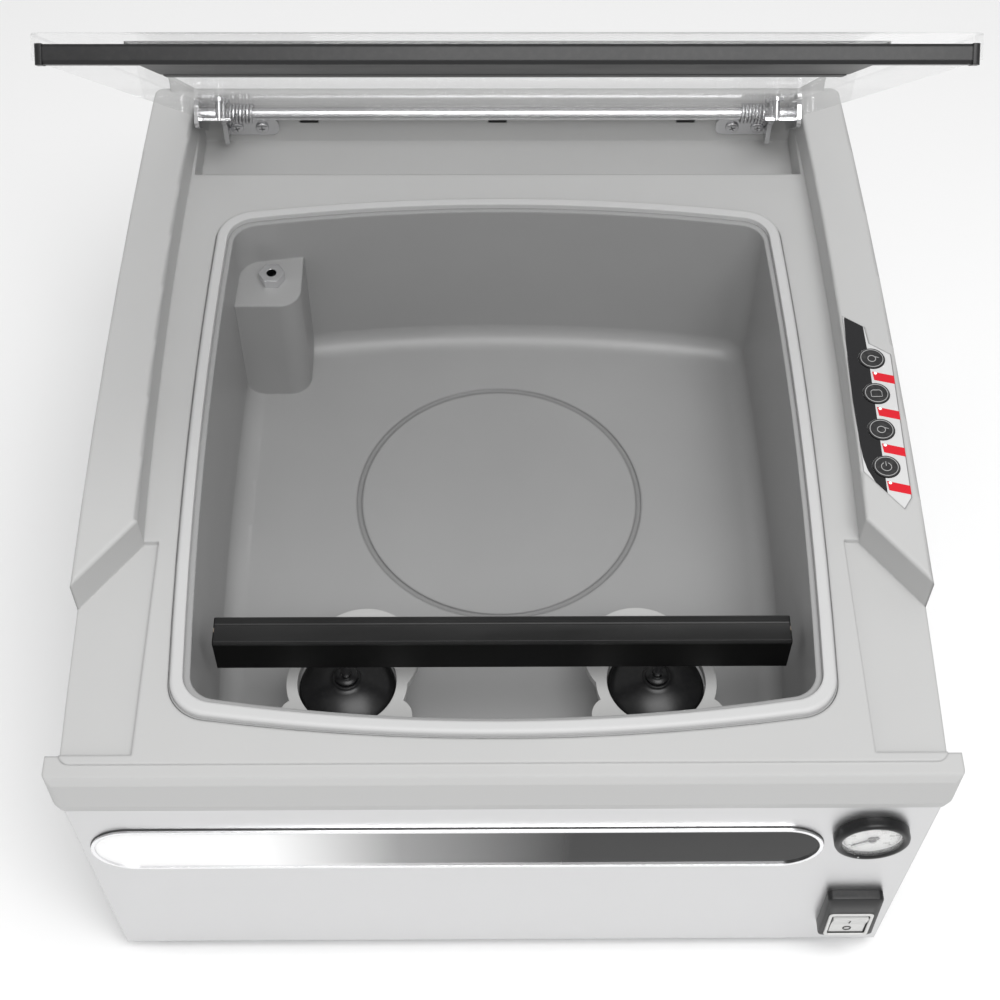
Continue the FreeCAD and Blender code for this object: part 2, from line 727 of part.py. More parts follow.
def hinge_springs():
    """Counterbalance coils round the shaft, close wound and so drawn as a grooved sleeve."""
    inner = shaft_radius + 0.6
    crest = shaft_radius + 2.6
    root = crest - 0.7
    turns = 8
    pitch = spring_length / turns
    coils = []
    for side in (-1, 1):
        first = side * (lid_half - 12 - spring_length / 2) - spring_length / 2
        outline = [(first, inner), (first, root)]
        for turn in range(turns):
            start = first + turn * pitch
            outline += [(start + 0.3 * pitch, crest), (start + 0.7 * pitch, crest),
                        (start + pitch, root)]
        outline.append((first + spring_length, inner))
        points = [Vector(x, pivot.y + radius, pivot.z) for x, radius in outline]
        half_section = Part.Face(Part.makePolygon(points + points[:1]))
        coils.append(half_section.revolve(pivot, Vector(1, 0, 0), 360))
    return group(coils)


# ---- sealing bar --------------------------------------------------------------------
def sealing_bar_body():
    """Black bar carrying the heating wire."""
    outline = [(bar_back, bar_bottom), (bar_front + 1, bar_bottom), (bar_front, bar_bottom + 1),
               (bar_front, bar_top - 1.3), (bar_front + 1, bar_top - 0.3),
               (bar_back - 1, bar_top - 0.3), (bar_back, bar_top - 1.3)]
    bar = profile(outline, -seal_length / 2, seal_length / 2)
    groove = box(-seal_length / 2 - 1, seal_length / 2 + 1, bar_middle - 1.3, bar_middle + 1.3,
                 bar_top - 0.5, bar_top)
    sockets = [rod(side * piston_x, bar_middle, bar_bottom - 1, pin_radius, 9) for side in (-1, 1)]
    return cut(bar, [groove] + sockets)


def heating_wire():
    """Flat resistance wire along the top of the bar."""
    return box(-seal_length / 2, seal_length / 2, bar_middle - 1.2, bar_middle + 1.2,
               bar_top - 0.5, bar_top - 0.3)


def seal_tape():
    """Non-stick tape over the heating wire."""
    return box(-seal_length / 2, seal_length / 2, bar_front + 1, bar_back - 1, bar_top - 0.3,
               bar_top)


def bar_pins():
    """Two pins that carry the bar and lead the current to it."""
    low = floor_top + 13
    return group([rod(side * piston_x, bar_middle, low, pin_radius, bar_bottom + 8 - low)
                  for side in (-1, 1)])


def rounded_disc(x, y, z, radius, height, rounding):
    """Flat cylinder with both rims rounded."""
    disc = rod(x, y, z, radius, height)
    rims = [edge for edge in disc.Edges if edge.BoundBox.ZLength < 0.1]
    return disc.makeFillet(rounding, rims)


def lift_bellows():
    """Two rubber lifting bellows with rounded folds."""
    bellows = []
    fold = (piston_top - floor_top) / 4
    for side in (-1, 1):
        x = side * piston_x
        folds = [rounded_disc(x, bar_middle, floor_top + fold * n, piston_radius, fold, fold * 0.4)
                 for n in range(4)]
        rim = tube(x, bar_middle, piston_top - 1, piston_radius - 5, piston_radius - 8, 2)
        socket_hole = rod(x, bar_middle, floor_top + 6, 6, chamber_depth)
        bellows.append(cut(fuse(folds + [rim]), [socket_hole]))
    return group(bellows)


def pin_sockets():
    """Metal sockets in the bellows in which the pins slide."""
    sockets = []
    for side in (-1, 1):
        outer = rod(side * piston_x, bar_middle, floor_top + 6, 6, piston_top - floor_top - 4)
        bore = rod(side * piston_x, bar_middle, floor_top + 10, pin_radius + running_fit, 90)
        sockets.append(outer.cut(bore))
    return group(sockets)


def lift_collars():
    """Pale lobed collars holding the bellows down."""
    collars = []
    for side in (-1, 1):
        x = side * piston_x
        base = rod(x, bar_middle, piston_top - 9, piston_radius + 6, 5)
        lobes = [rod(x - side * 9, bar_middle + 17, piston_top - 9, 30, 5)]
        lobes += [rod(x + dx, bar_middle - 21, piston_top - 9, 11, 5) for dx in (-25, 25)]
        plate = fuse([base] + lobes)
        legs = [rod(x + dx, bar_middle + dy, floor_top, 4, piston_top - 9 - floor_top)
                for dx, dy in ((-28, -19), (28, -19), (-side * 9, 38))]
        hole = rod(x, bar_middle, floor_top - 1, piston_radius, 80)
        collars.append(fuse([plate] + legs).cut(hole))
    return group(collars)


# ---- pump ---------------------------------------------------------------------------
def pump_body_block(x0, x1, half, z1):
    """Block of the pump centred on its shaft line."""
    return box(x0, x1, pump_y - half, pump_y + half, pump_axis_z - half, z1)


def pump_base_plate():
    """Folded plate that carries the pump on four legs."""
    plate = box(pump_left + 10, pump_right - 10, pump_y - 42, pump_y + 42, pan_top + 6, pan_top + 8)
    legs = [box(x, x + 16, y, y + 12, pan_top, pan_top + 6) for x in (pump_left + 12, pump_right - 28)
            for y in (pump_y - 42, pump_y + 30)]
    return fuse([plate] + legs)


def motor_housing():
    """Round motor frame with cooling ribs and a foot."""
    x0 = pump_left + 52
    length = pump_right - pump_left - 104
    frame = rod(x0, pump_y, pump_axis_z, motor_radius, length, (1, 0, 0))
    ribs = [box(x0 + 6 + n * 8, x0 + 9 + n * 8, pump_y - motor_radius - 2, pump_y + motor_radius + 2,
                pump_axis_z - 14, pump_axis_z + 14) for n in range(int((length - 12) / 8))]
    foot = box(x0 + 4, x0 + length - 4, pump_y - 20, pump_y + 20, pan_top + 8, pump_axis_z)
    bore = rod(x0 - 1, pump_y, pump_axis_z, motor_radius - 5, length + 2, (1, 0, 0))
    return fuse([frame, foot] + ribs).cut(bore)


def crankcase(x0, x1):
    """Cast crankcase with a shaft bearing wall on the motor side."""
    case = pump_body_block(x0, x1, 30, pump_axis_z + 18)
    return round_edges(case, 4.0, is_upright)


def crankcases():
    """Both crankcases, one at each end of the motor, open where the cranks turn."""
    cases = []
    for side, face in ((-1, pump_left + 52), (1, pump_right - 52)):
        x0, x1 = min(face, face + side * 34), max(face, face + side * 34)
        room0, room1 = min(face + side * 8, face + side * 35), max(face + side * 8, face + side * 35)
        room = rod(room0, pump_y, pump_axis_z, 22, room1 - room0, (1, 0, 0))
        seat = rod(x0 - 1, pump_y, pump_axis_z, 4 + running_fit, 36, (1, 0, 0))
        bore = rod(face + side * 18, pump_y, pump_axis_z, 15, 40)
        cases.append(cut(crankcase(x0, x1), [room, seat, bore]))
    return group(cases)


def cylinder_heads():
    """Finned heads over the two cylinders."""
    heads = []
    for side, face in ((-1, pump_left + 52), (1, pump_right - 52)):
        middle = face + side * 18
        block = box(middle - 14, middle + 14, pump_y - 26, pump_y + 26, pump_axis_z + 18, head_top)
        fins = [box(middle - 15, middle + 15, pump_y - 24 + n * 8, pump_y - 21 + n * 8,
                    head_top - 6, head_top + 1) for n in range(6)]
        heads.append(fuse([block.cut(box(middle - 15, middle + 15, pump_y - 27, pump_y + 27,
                                         head_top - 5, head_top + 1))] + fins))
    return group(heads)


def pump_shaft():
    """Motor rotor and shaft with an eccentric crank at each end."""
    shaft = rod(pump_left + 6, pump_y, pump_axis_z, 4, pump_right - pump_left - 12, (1, 0, 0))
    rotor = rod(pump_left + 64, pump_y, pump_axis_z, 20, pump_right - pump_left - 128, (1, 0, 0))
    cranks = [rod(x, pump_y, pump_axis_z + 3, 9, 8, (1, 0, 0)) for x in
              (pump_left + 52 - 22, pump_right - 52 + 14)]
    return fuse([shaft, rotor] + cranks)


def cooling_fans():
    """Two fans on the shaft ends blowing over the pump."""
    fans = []
    for x0 in (pump_left + 7, pump_right - 15):
        hub = rod(x0, pump_y, pump_axis_z, 9, 8, (1, 0, 0))
        blade = box(x0 + 2, x0 + 6, pump_y - 1.2, pump_y + 1.2, pump_axis_z + 7, pump_axis_z + 32)
        blades = []
        for n in range(6):
            turned = blade.copy()
            turned.rotate(Vector(x0 + 4, pump_y, pump_axis_z + 18), Vector(0, 0, 1), 35)
            turned.rotate(Vector(x0, pump_y, pump_axis_z), Vector(1, 0, 0), 60 * n)
            blades.append(turned)
        fans.append(fuse([hub] + blades).cut(rod(x0 - 1, pump_y, pump_axis_z, 4, 12, (1, 0, 0))))
    return group(fans)


# ---- valves, hoses and electrics ----------------------------------------------------
def valve_block():
    """Aluminium manifold with the moulded coils of its two solenoid valves."""
    block = box(valve_x - 32, valve_x + 32, valve_y - 14, valve_y + 14, pan_top, pan_top + 28)
    solids = [cut(block, [rod(x, valve_y, pan_top + 16, 5, 13) for x in valve_places()])]
    for x in valve_places():
        coil = box(x - 12, x + 12, valve_y - 12, valve_y + 12, pan_top + 28, pan_top + 56)
        coil = round_edges(coil, 4.0, is_upright)
        solids.append(coil.cut(rod(x, valve_y, pan_top + 27, 5, 25)))
    return group(solids)


def valve_places():
    """X of the two solenoid valves."""
    return (valve_x - 16, valve_x + 16)


def valve_plunger(index):
    """Sliding core of one solenoid valve."""
    x = valve_places()[index]
    return rod(x, valve_y, pan_top + 16.4, 4.95, 28).cut(rod(x, valve_y, pan_top + 36, 2, 20))


def sealing_transformer():
    """Transformer for the sealing bar: laminated core and its windings."""
    x, y = transformer_centre
    outer = box(x - 32, x + 32, y - 20, y + 20, pan_top + 4, pan_top + 64)
    windows = [box(x + side * 15 - 6.5, x + side * 15 + 6.5, y - 21, y + 21, pan_top + 15, pan_top + 53)
               for side in (-1, 1)]
    foot = box(x - 40, x + 40, y - 16, y + 16, pan_top, pan_top + 4)
    coil = box(x - 21.2, x + 21.2, y - 33, y + 33, pan_top + 16, pan_top + 52)
    coil = round_edges(coil, 6.0, is_upright)
    coil = coil.cut(box(x - 8.5, x + 8.5, y - 20, y + 20, pan_top + 10, pan_top + 60))
    return group([fuse([cut(outer, windows), foot]), coil])


def control_board():
    """Printed circuit board on four stand-offs with relays, processor and connectors."""
    z = pan_top + 9.6
    board = box(board_x - 26, board_x + 26, board_y - 50, board_y + 50, z - 1.6, z)
    posts = [rod(board_x + sx * 21, board_y + sy * 45, pan_top, 3, 8) for sx in (-1, 1)
             for sy in (-1, 1)]
    relays = [box(board_x - 20, board_x - 4, board_y - 40 + n * 22, board_y - 22 + n * 22, z, z + 15)
              for n in range(4)]
    chip = box(board_x + 2, board_x + 20, board_y - 12, board_y + 6, z, z + 2.5)
    headers = [box(board_x + 10, board_x + 16, board_y + 14 + n * 14, board_y + 24 + n * 14, z, z + 9)
               for n in range(2)]
    return group([fuse([board] + posts), chip] + relays + headers)


def appliance_inlet():
    """Mains inlet in the rear panel with its three pins."""
    x0 = -half_width + 30.2
    x1 = -half_width + 56.8
    body = box(x0, x1, rear - 22, rear, 40.2, 59.8)
    flange = box(x0 - 9, x1 + 9, rear, rear + 2.5, 38, 62)
    flange = round_edges(flange, 3.0, lambda e: e.BoundBox.YLength > 2)
    cavity = box(x0 + 2, x1 - 2, rear - 16, rear + 3, 42.5, 57.5)
    pins = [box((x0 + x1) / 2 + dx - 1, (x0 + x1) / 2 + dx + 1, rear - 17, rear - 2, 49 + dz, 53 + dz)
            for dx, dz in ((-7, -2), (0, 0), (7, -2))]
    return fuse([fuse([body, flange]).cut(cavity)] + pins)


def exhaust_silencer():
    """Sintered silencer on the pump outlet, showing at the back."""
    x = half_width - 45
    body = rod(x, rear - 40, 60, 7.9, 48, (0, 1, 0))
    nut = rod(x, rear, 60, 11, 4, (0, 1, 0))
    tip = rod(x, rear + 4, 60, 7, lip_depth - 4, (0, 1, 0))
    return fuse([body, nut, tip])


def rounded_path(points, bend):
    """Wire of straight runs joined by tangent arcs."""
    corners = [Vector(*point) for point in points]
    edges = []
    start = corners[0]
    for before, corner, after in zip(corners, corners[1:], corners[2:]):
        into = (corner - before).normalize()
        out = (after - corner).normalize()
        half = into.getAngle(out) / 2
        setback = bend * math.tan(half)
        arc_start = corner - into * setback
        arc_end = corner + out * setback
        sagitta_way = (out - into).normalize()
        middle = corner + sagitta_way * (bend / math.cos(half) - bend)
        edges.append(Part.LineSegment(start, arc_start).toShape())
        edges.append(Part.Arc(arc_start, middle, arc_end).toShape())
        start = arc_end
    edges.append(Part.LineSegment(start, corners[-1]).toShape())
    return Part.Wire(edges)


def pipe(points, radius, bend):
    """Round hose or wire along a path with rounded bends."""
    path = rounded_path(points, bend)
    direction = (Vector(*points[1]) - Vector(*points[0])).normalize()
    ring = Part.Wire(Part.makeCircle(radius, Vector(*points[0]), direction))
    return path.makePipeShell([ring], True, False)


def suction_hose():
    """Hose from under the suction boss, beside the pump, to the manifold."""
    x, y = suction_centre()
    low = pan_top + 14
    aside = -half_width + 12
    return pipe([(x, y, floor_bottom), (x, y, pan_top + 20), (aside, y, pan_top + 20),
                 (aside, valve_y, pan_top + 20), (valve_x - 32, valve_y, low + 6)], 6, 9)


def air_tubes():
    """Tubes from the manifold to the gauge and to the two bellows."""
    hoses = [pipe([(gauge_x, front + 37, gauge_z), (gauge_x, front + 50, gauge_z),
                   (gauge_x, front + 50, pan_top + 36), (gauge_x - 22, front + 50, pan_top + 36),
                   (gauge_x - 22, valve_y, pan_top + 36), (gauge_x - 22, valve_y, pan_top + 22),
                   (valve_x + 32, valve_y, pan_top + 22)], 3, 6)]
    for side in (-1, 1):
        x = side * piston_x
        exit_x = valve_x + side * 6
        hoses.append(pipe([(x, bar_middle, floor_bottom + 3), (x, bar_middle, pan_top + 72),
                           (x, valve_y - 30, pan_top + 72), (exit_x, valve_y - 30, pan_top + 72),
                           (exit_x, valve_y - 30, pan_top + 10), (exit_x, valve_y - 14, pan_top + 10)],
                          3, 6))
    return group(hoses)


def wiring():
    """Switch cable along the left side and the two leads of the sealing bar."""
    x = -half_width + 26
    y_inlet = rear - 22
    wires = [pipe([(-half_width + 43.5, y_inlet, 50), (-half_width + 43.5, y_inlet - 12, 50),
                   (x, y_inlet - 12, 50), (x, y_inlet - 12, pan_top + 78),
                   (x, front + 42, pan_top + 78), (x, front + 42, rocker_z),
                   (switch_x, front + 42, rocker_z), (switch_x, front + 22, rocker_z)], 3.5, 6)]
    tx, ty = transformer_centre
    for side in (-1, 1):
        top = pan_top + 84 + side * 4
        start_x = tx + side * 12
        lane = bar_middle + 24 + side * 4
        end_x = side * piston_x
        wires.append(pipe([(start_x, ty - 33, pan_top + 40), (start_x, ty - 45, pan_top + 40),
                           (start_x, ty - 45, top), (start_x, lane, top), (end_x, lane, top),
                           (end_x, lane, floor_bottom)], 2, 5))
    return group(wires)


# ---- write --------------------------------------------------------------------------
def pieces():
    """Every node of the machine with its shape."""
    makers = [
        top_cover, chamber_tub, chamber_gasket, suction_plug, base_pan, front_panel,
        side_panel_left, side_panel_right, rear_panel, panel_screws, rubber_feet, trim_strip,
        trim_bezel, gauge_case, gauge_bezel, gauge_dial, gauge_needle, gauge_glass,
        switch_housing, power_rocker, control_film, pilot_lights, lid_plate, lid_front_bar,
        lid_end_caps, counter_bar, silicone_strip, lid_hinge_arms, lid_arm_screws, hinge_shaft,
        hinge_brackets, hinge_screws, hinge_springs, sealing_bar_body, heating_wire, seal_tape,
        bar_pins, lift_bellows, pin_sockets, lift_collars, pump_base_plate, motor_housing,
        crankcases, cylinder_heads, pump_shaft, cooling_fans, valve_block, sealing_transformer,
        control_board, appliance_inlet, exhaust_silencer, suction_hose, air_tubes, wiring]
    shapes = {maker.__name__: maker() for maker in makers}
    for index in range(4):
        shapes["keypad_button_%d" % (index + 1)] = keypad_button(index)
    shapes["air_return_plunger"] = valve_plunger(0)
    shapes["bellows_plunger"] = valve_plunger(1)
    return shapes


for name, shape in pieces().items():
    shape.exportStep("parts/%s.step" % name)
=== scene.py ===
"""Table-top vacuum packing machine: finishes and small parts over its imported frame.

Everything is in metres, +Z up, with the front of the machine towards -Y. Sizes and places
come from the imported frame, so a part follows the node that it belongs to.
"""
import json
import math

import bmesh
import bpy
from bpy.props import FloatProperty, FloatVectorProperty, IntProperty, PointerProperty
from bpy.types import Operator, Panel, PropertyGroup
from mathutils import Matrix, Vector


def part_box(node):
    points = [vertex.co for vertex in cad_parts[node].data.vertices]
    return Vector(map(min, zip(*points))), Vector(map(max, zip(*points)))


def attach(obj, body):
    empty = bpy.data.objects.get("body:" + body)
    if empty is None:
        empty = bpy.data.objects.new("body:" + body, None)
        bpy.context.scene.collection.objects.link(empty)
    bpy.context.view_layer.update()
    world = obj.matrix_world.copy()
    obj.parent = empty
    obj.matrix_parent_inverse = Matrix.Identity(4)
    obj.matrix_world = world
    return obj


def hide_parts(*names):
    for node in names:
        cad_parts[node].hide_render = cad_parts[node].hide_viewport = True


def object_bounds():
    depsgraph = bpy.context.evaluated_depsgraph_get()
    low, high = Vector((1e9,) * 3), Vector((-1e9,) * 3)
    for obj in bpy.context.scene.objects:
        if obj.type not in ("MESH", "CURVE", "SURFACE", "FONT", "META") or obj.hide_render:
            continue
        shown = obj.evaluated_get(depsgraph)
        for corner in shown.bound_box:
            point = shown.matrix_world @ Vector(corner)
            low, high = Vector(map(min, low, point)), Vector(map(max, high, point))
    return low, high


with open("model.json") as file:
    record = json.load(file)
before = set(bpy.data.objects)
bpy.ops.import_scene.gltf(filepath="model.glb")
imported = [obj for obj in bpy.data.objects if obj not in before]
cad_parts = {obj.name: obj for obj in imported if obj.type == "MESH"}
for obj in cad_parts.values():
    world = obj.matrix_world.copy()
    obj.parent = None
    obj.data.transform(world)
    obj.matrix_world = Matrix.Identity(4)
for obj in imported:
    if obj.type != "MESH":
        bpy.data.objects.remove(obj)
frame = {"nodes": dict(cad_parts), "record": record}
frame_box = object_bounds()

bl_info = {
    "name": "Vacuum packing machine",
    "version": (1, 0, 0),
    "blender": (4, 5, 0),
    "location": "View3D > Sidebar > Vacuum packer",
    "description": "Finishes and small parts of a table-top vacuum packing machine",
    "category": "Object",
}

MM = 0.001
MOULDED_EDGE = 1.2 * MM
SHARP_ANGLE = math.radians(35)
ORIGIN = (0.0, 0.0, 0.0)
GEOMETRY = "NodeSocketGeometry"
NUMBER = "NodeSocketFloat"
WHOLE = "NodeSocketInt"
VECTOR = "NodeSocketVector"


# ---- settings ------------------------------------------------------------------------
def tint(name, description, default):
    """Colour setting with a name, a description and its default."""
    return FloatVectorProperty(name=name, description=description, default=default,
                               subtype="COLOR", min=0.0, max=1.0)


def length(name, description, default):
    """Length setting in metres."""
    return FloatProperty(name=name, description=description, default=default, unit="LENGTH", min=0.0)


class FinishSettings(PropertyGroup):
    """Colours that a user would change."""

    cover: tint("Cover", "Moulded top cover and rails", (0.47, 0.47, 0.467))
    chamber: tint("Chamber", "Inside of the vacuum chamber", (0.33, 0.33, 0.33))
    gasket: tint("Gasket", "Soft ring round the chamber", (0.52, 0.52, 0.52))
    panel: tint("Panels", "Sheet metal of the base", (0.60, 0.60, 0.604))
    black: tint("Black parts", "Grip bar, bezels and housings", (0.012, 0.012, 0.0125))
    film: tint("Keypad film", "Light part of the keypad film", (0.60, 0.60, 0.60))
    tabs: tint("Keypad tabs", "Coloured tab beside each button", (0.62, 0.006, 0.018))


class DetailSettings(PropertyGroup):
    """Sizes of the small parts that the frame leaves plain."""

    dial_ticks: IntProperty(name="Dial ticks", description="Fine marks round the gauge scale",
                            default=26, min=2)
    tick_length: length("Tick length", "Length of a fine mark on the gauge", 1.3 * MM)
    screw_recess: length("Screw recess", "Width of the cross in a screw head", 0.8 * MM)
    print_height: length("Print height", "Thickness of the printed areas", 0.06 * MM)
    ring_width: length("Button ring", "Width of the ring printed round a button", 0.45 * MM)
    louvre_depth: length("Louvre depth", "How far a louvre stands out of the rear panel", 1.6 * MM)


class StageSettings(PropertyGroup):
    """Floor, lights and camera."""

    floor: tint("Floor", "Colour of the floor", (0.93, 0.93, 0.93))
    daylight: FloatProperty(name="Daylight", description="Strength of the even light", default=0.52,
                            min=0.0)
    key: FloatProperty(name="Key light", description="Power of the main soft light", default=36.0,
                       unit="POWER", min=0.0)
    fill: FloatProperty(name="Fill light", description="Power of the soft light opposite", default=2.5,
                        unit="POWER", min=0.0)
    camera_place: FloatVectorProperty(name="Camera place", description="Where the camera stands",
                                      default=(-0.0102, -0.6275, 0.9924), subtype="TRANSLATION",
                                      unit="LENGTH")
    camera_tilt: FloatProperty(name="Camera tilt", description="How far the camera looks down",
                               default=math.radians(53.97), subtype="ANGLE", unit="ROTATION")
    camera_turn: FloatProperty(name="Camera turn", description="How far the camera looks to the right",
                               default=math.radians(0.966), subtype="ANGLE", unit="ROTATION")
    camera_roll: FloatProperty(name="Camera roll", description="Lean of the camera to the left",
                               default=math.radians(0.62), subtype="ANGLE", unit="ROTATION")
    lens: FloatProperty(name="Lens", description="Focal length", default=63.39, unit="CAMERA", min=1.0)


class PackerSettings(PropertyGroup):
    """All settings of the machine."""

    finish: PointerProperty(type=FinishSettings)
    detail: PointerProperty(type=DetailSettings)
    stage: PointerProperty(type=StageSettings)


def settings():
    """Settings of this scene."""
    return bpy.context.scene.vacuum_packer


# ---- node trees ----------------------------------------------------------------------
class Graph:
    """Adds nodes to one tree and joins them."""

    def __init__(self, tree):
        self.tree = tree

    def feed(self, socket, value):
        """Give an input a plain value, or join it to another node's output."""
        if isinstance(value, bpy.types.NodeSocket):
            self.tree.links.new(value, socket)
        else:
            socket.default_value = value

    def node(self, kind, options=(), **inputs):
        """New node with its own options and its inputs by name."""
        node = self.tree.nodes.new(kind)
        for name, value in dict(options).items():
            setattr(node, name, value)
        for name, value in inputs.items():
            self.feed(node.inputs[name.replace("_", " ")], value)
        return node

    def math(self, operation, *values, clamp=False):
        """Result of a sum on numbers or sockets."""
        node = self.node("ShaderNodeMath", {"operation": operation, "use_clamp": clamp})
        for socket, value in zip(node.inputs, values):
            self.feed(socket, value)
        return node.outputs[0]

    def vector(self, operation, *values):
        """Result of a sum on vectors; a dot product or a length gives a number."""
        node = self.node("ShaderNodeVectorMath", {"operation": operation})
        for socket, value in zip(node.inputs, values):
            self.feed(socket, value)
        return node.outputs["Value" if operation in ("DOT_PRODUCT", "LENGTH") else "Vector"]

    def blend(self, factor, first, second):
        """Colour between two colours."""
        node = self.node("ShaderNodeMix", {"data_type": "RGBA"})
        self.feed(node.inputs[0], factor)
        self.feed(node.inputs[6], first)
        self.feed(node.inputs[7], second)
        return node.outputs[2]

    def remap(self, value, from_low, from_high, to_low, to_high):
        """Number moved from one range to another and kept inside it."""
        return self.node("ShaderNodeMapRange", Value=value, From_Min=from_low, From_Max=from_high,
                         To_Min=to_low, To_Max=to_high).outputs[0]

    def place(self):
        """Coordinates of the surface point, in metres."""
        return self.node("ShaderNodeTexCoord").outputs["Object"]

    def stretched(self, scale):
        """Coordinates stretched by a scale on each axis."""
        return self.node("ShaderNodeMapping", Vector=self.place(), Scale=scale).outputs[0]

    def noise(self, scale, detail=2.0, vector=None):
        """Smooth noise from 0 to 1."""
        node = self.node("ShaderNodeTexNoise", Scale=scale, Detail=detail,
                         Vector=vector or self.place())
        return node.outputs["Fac"]

    def group(self, name, **inputs):
        """Place a shared group with its own values and return its outputs."""
        node = self.node("ShaderNodeGroup", {"node_tree": bpy.data.node_groups[name]})
        for label, value in inputs.items():
            self.feed(node.inputs[label], value)
        return node.outputs


def new_group(name, inputs, outputs, kind="ShaderNodeTree"):
    """Empty node group with named sockets, as (graph, inputs, outputs)."""
    tree = bpy.data.node_groups.new(name, kind)
    for label, (socket_kind, value) in inputs.items():
        socket = tree.interface.new_socket(label, in_out="INPUT", socket_type=socket_kind)
        if value is not None:
            socket.default_value = value
    for label, socket_kind in outputs.items():
        tree.interface.new_socket(label, in_out="OUTPUT", socket_type=socket_kind)
    graph = Graph(tree)
    return graph, graph.node("NodeGroupInput").outputs, graph.node("NodeGroupOutput").inputs


def make_moulded_group():
    """Fine grain and broad unevenness of a moulded or cast surface."""
    graph, given, result = new_group(
        "Moulded surface", {"Grain": (NUMBER, 900.0), "Patch": (NUMBER, 14.0)},
        {"Height": NUMBER, "Tone": NUMBER})
    graph.feed(result["Height"], graph.noise(given["Grain"], 3.0))
    graph.feed(result["Tone"], graph.noise(given["Patch"], 2.0))


def make_edge_group():
    """Rounded look of an edge and a mask of where it is rubbed."""
    graph, given, result = new_group(
        "Soft edges", {"Radius": (NUMBER, MOULDED_EDGE)},
        {"Normal": VECTOR, "Rubbed": NUMBER})
    rounded = graph.node("ShaderNodeBevel", {"samples": 4}, Radius=given["Radius"]).outputs[0]
    flat = graph.node("ShaderNodeNewGeometry").outputs["Normal"]
    turned = graph.math("SUBTRACT", 1.0, graph.vector("DOT_PRODUCT", rounded, flat))
    patchy = graph.noise(160.0, 2.0)
    graph.feed(result["Normal"], rounded)
    graph.feed(result["Rubbed"], graph.math("MULTIPLY", graph.remap(turned, 0.02, 0.25, 0.0, 1.0), patchy))


def make_brushed_group():
    """Fine lines left by brushing, drawn out along one axis."""
    graph, given, result = new_group(
        "Brushed lines", {"Stretch": (VECTOR, (8.0, 900.0, 900.0))},
        {"Height": NUMBER, "Streak": NUMBER})
    lines = graph.node("ShaderNodeMapping", Vector=graph.place(), Scale=given["Stretch"]).outputs[0]
    fine = graph.noise(1.0, 3.0, lines)
    graph.feed(result["Height"], fine)
    graph.feed(result["Streak"], graph.remap(fine, 0.3, 0.7, 0.0, 1.0))


def make_weave_group():
    """Plain weave of glass cloth, seen from above or from the front."""
    graph, given, result = new_group(
        "Woven cloth", {"Threads": (NUMBER, 900.0)},
        {"Height": NUMBER, "Thread": NUMBER})
    parts = graph.node("ShaderNodeSeparateXYZ", Vector=graph.place()).outputs
    turn = graph.math("MULTIPLY", given["Threads"], 2 * math.pi)
    across = graph.math("SINE", graph.math("MULTIPLY", parts["X"], turn))
    depth = graph.math("SUBTRACT", parts["Y"], parts["Z"])
    along = graph.math("SINE", graph.math("MULTIPLY", depth, turn))
    woven = graph.math("MULTIPLY", across, along)
    graph.feed(result["Height"], woven)
    graph.feed(result["Thread"], graph.remap(woven, -1.0, 1.0, 0.0, 1.0))


def make_dust_group():
    """Faint dust that gathers on faces that look up."""
    graph, given, result = new_group(
        "Settled dust", {"Amount": (NUMBER, 0.1)}, {"Dust": NUMBER})
    normal = graph.node("ShaderNodeNewGeometry").outputs["Normal"]
    upward = graph.node("ShaderNodeSeparateXYZ", Vector=normal).outputs["Z"]
    speckle = graph.remap(graph.noise(420.0, 4.0), 0.45, 0.75, 0.0, 1.0)
    level = graph.math("MULTIPLY", graph.remap(upward, 0.2, 1.0, 0.0, 1.0), speckle)
    graph.feed(result["Dust"], graph.math("MULTIPLY", level, given["Amount"]))


# ---- finishes ------------------------------------------------------------------------
def shade(colour, share):
    """Colour made darker or lighter by a share, with full alpha."""
    return tuple(min(1.0, channel * share) for channel in colour[:3]) + (1.0,)


def new_finish(name):
    """Graph of an emptied material: the frame's plain one of that name, or a new one."""
    material = bpy.data.materials.get(name) or bpy.data.materials.new(name)
    material.use_nodes = True
    material.node_tree.nodes.clear()
    return Graph(material.node_tree)


def close_finish(graph, **values):
    """Principled shader with its values, joined to the material output."""
    shader = graph.node("ShaderNodeBsdfPrincipled", **values)
    graph.node("ShaderNodeOutputMaterial", Surface=shader.outputs[0])


def surface(name, colour, roughness, edge=MOULDED_EDGE, grain=900.0, relief=0.02 * MM, uneven=0.04,
            rubbed=0.25, dust=0.0, colour_source=None, height_source=None, **values):
    """Finish with grain, uneven tone, rounded and rubbed edges, and a little dust."""
    graph = new_finish(name)
    moulded = graph.group("Moulded surface", Grain=grain)
    edges = graph.group("Soft edges", Radius=edge)
    if colour_source:
        tone = colour_source(graph)
    else:
        tone = graph.blend(moulded["Tone"], shade(colour, 1 - uneven), shade(colour, 1 + uneven))
    wear = graph.math("MULTIPLY", edges["Rubbed"], rubbed)
    paint = graph.blend(wear, tone, shade([min(1.0, channel + 0.25) for channel in colour[:3]], 1.0))
    if dust:
        paint = graph.blend(graph.group("Settled dust", Amount=dust)["Dust"], paint,
                            (0.55, 0.54, 0.52, 1.0))
    height = height_source(graph) if height_source else moulded["Height"]
    bump = graph.node("ShaderNodeBump", Distance=relief, Height=height, Normal=edges["Normal"])
    rough = graph.remap(moulded["Tone"], 0.25, 0.75, roughness * 0.88, roughness * 1.12)
    close_finish(graph, Base_Color=paint, Roughness=rough, Normal=bump.outputs[0], **values)


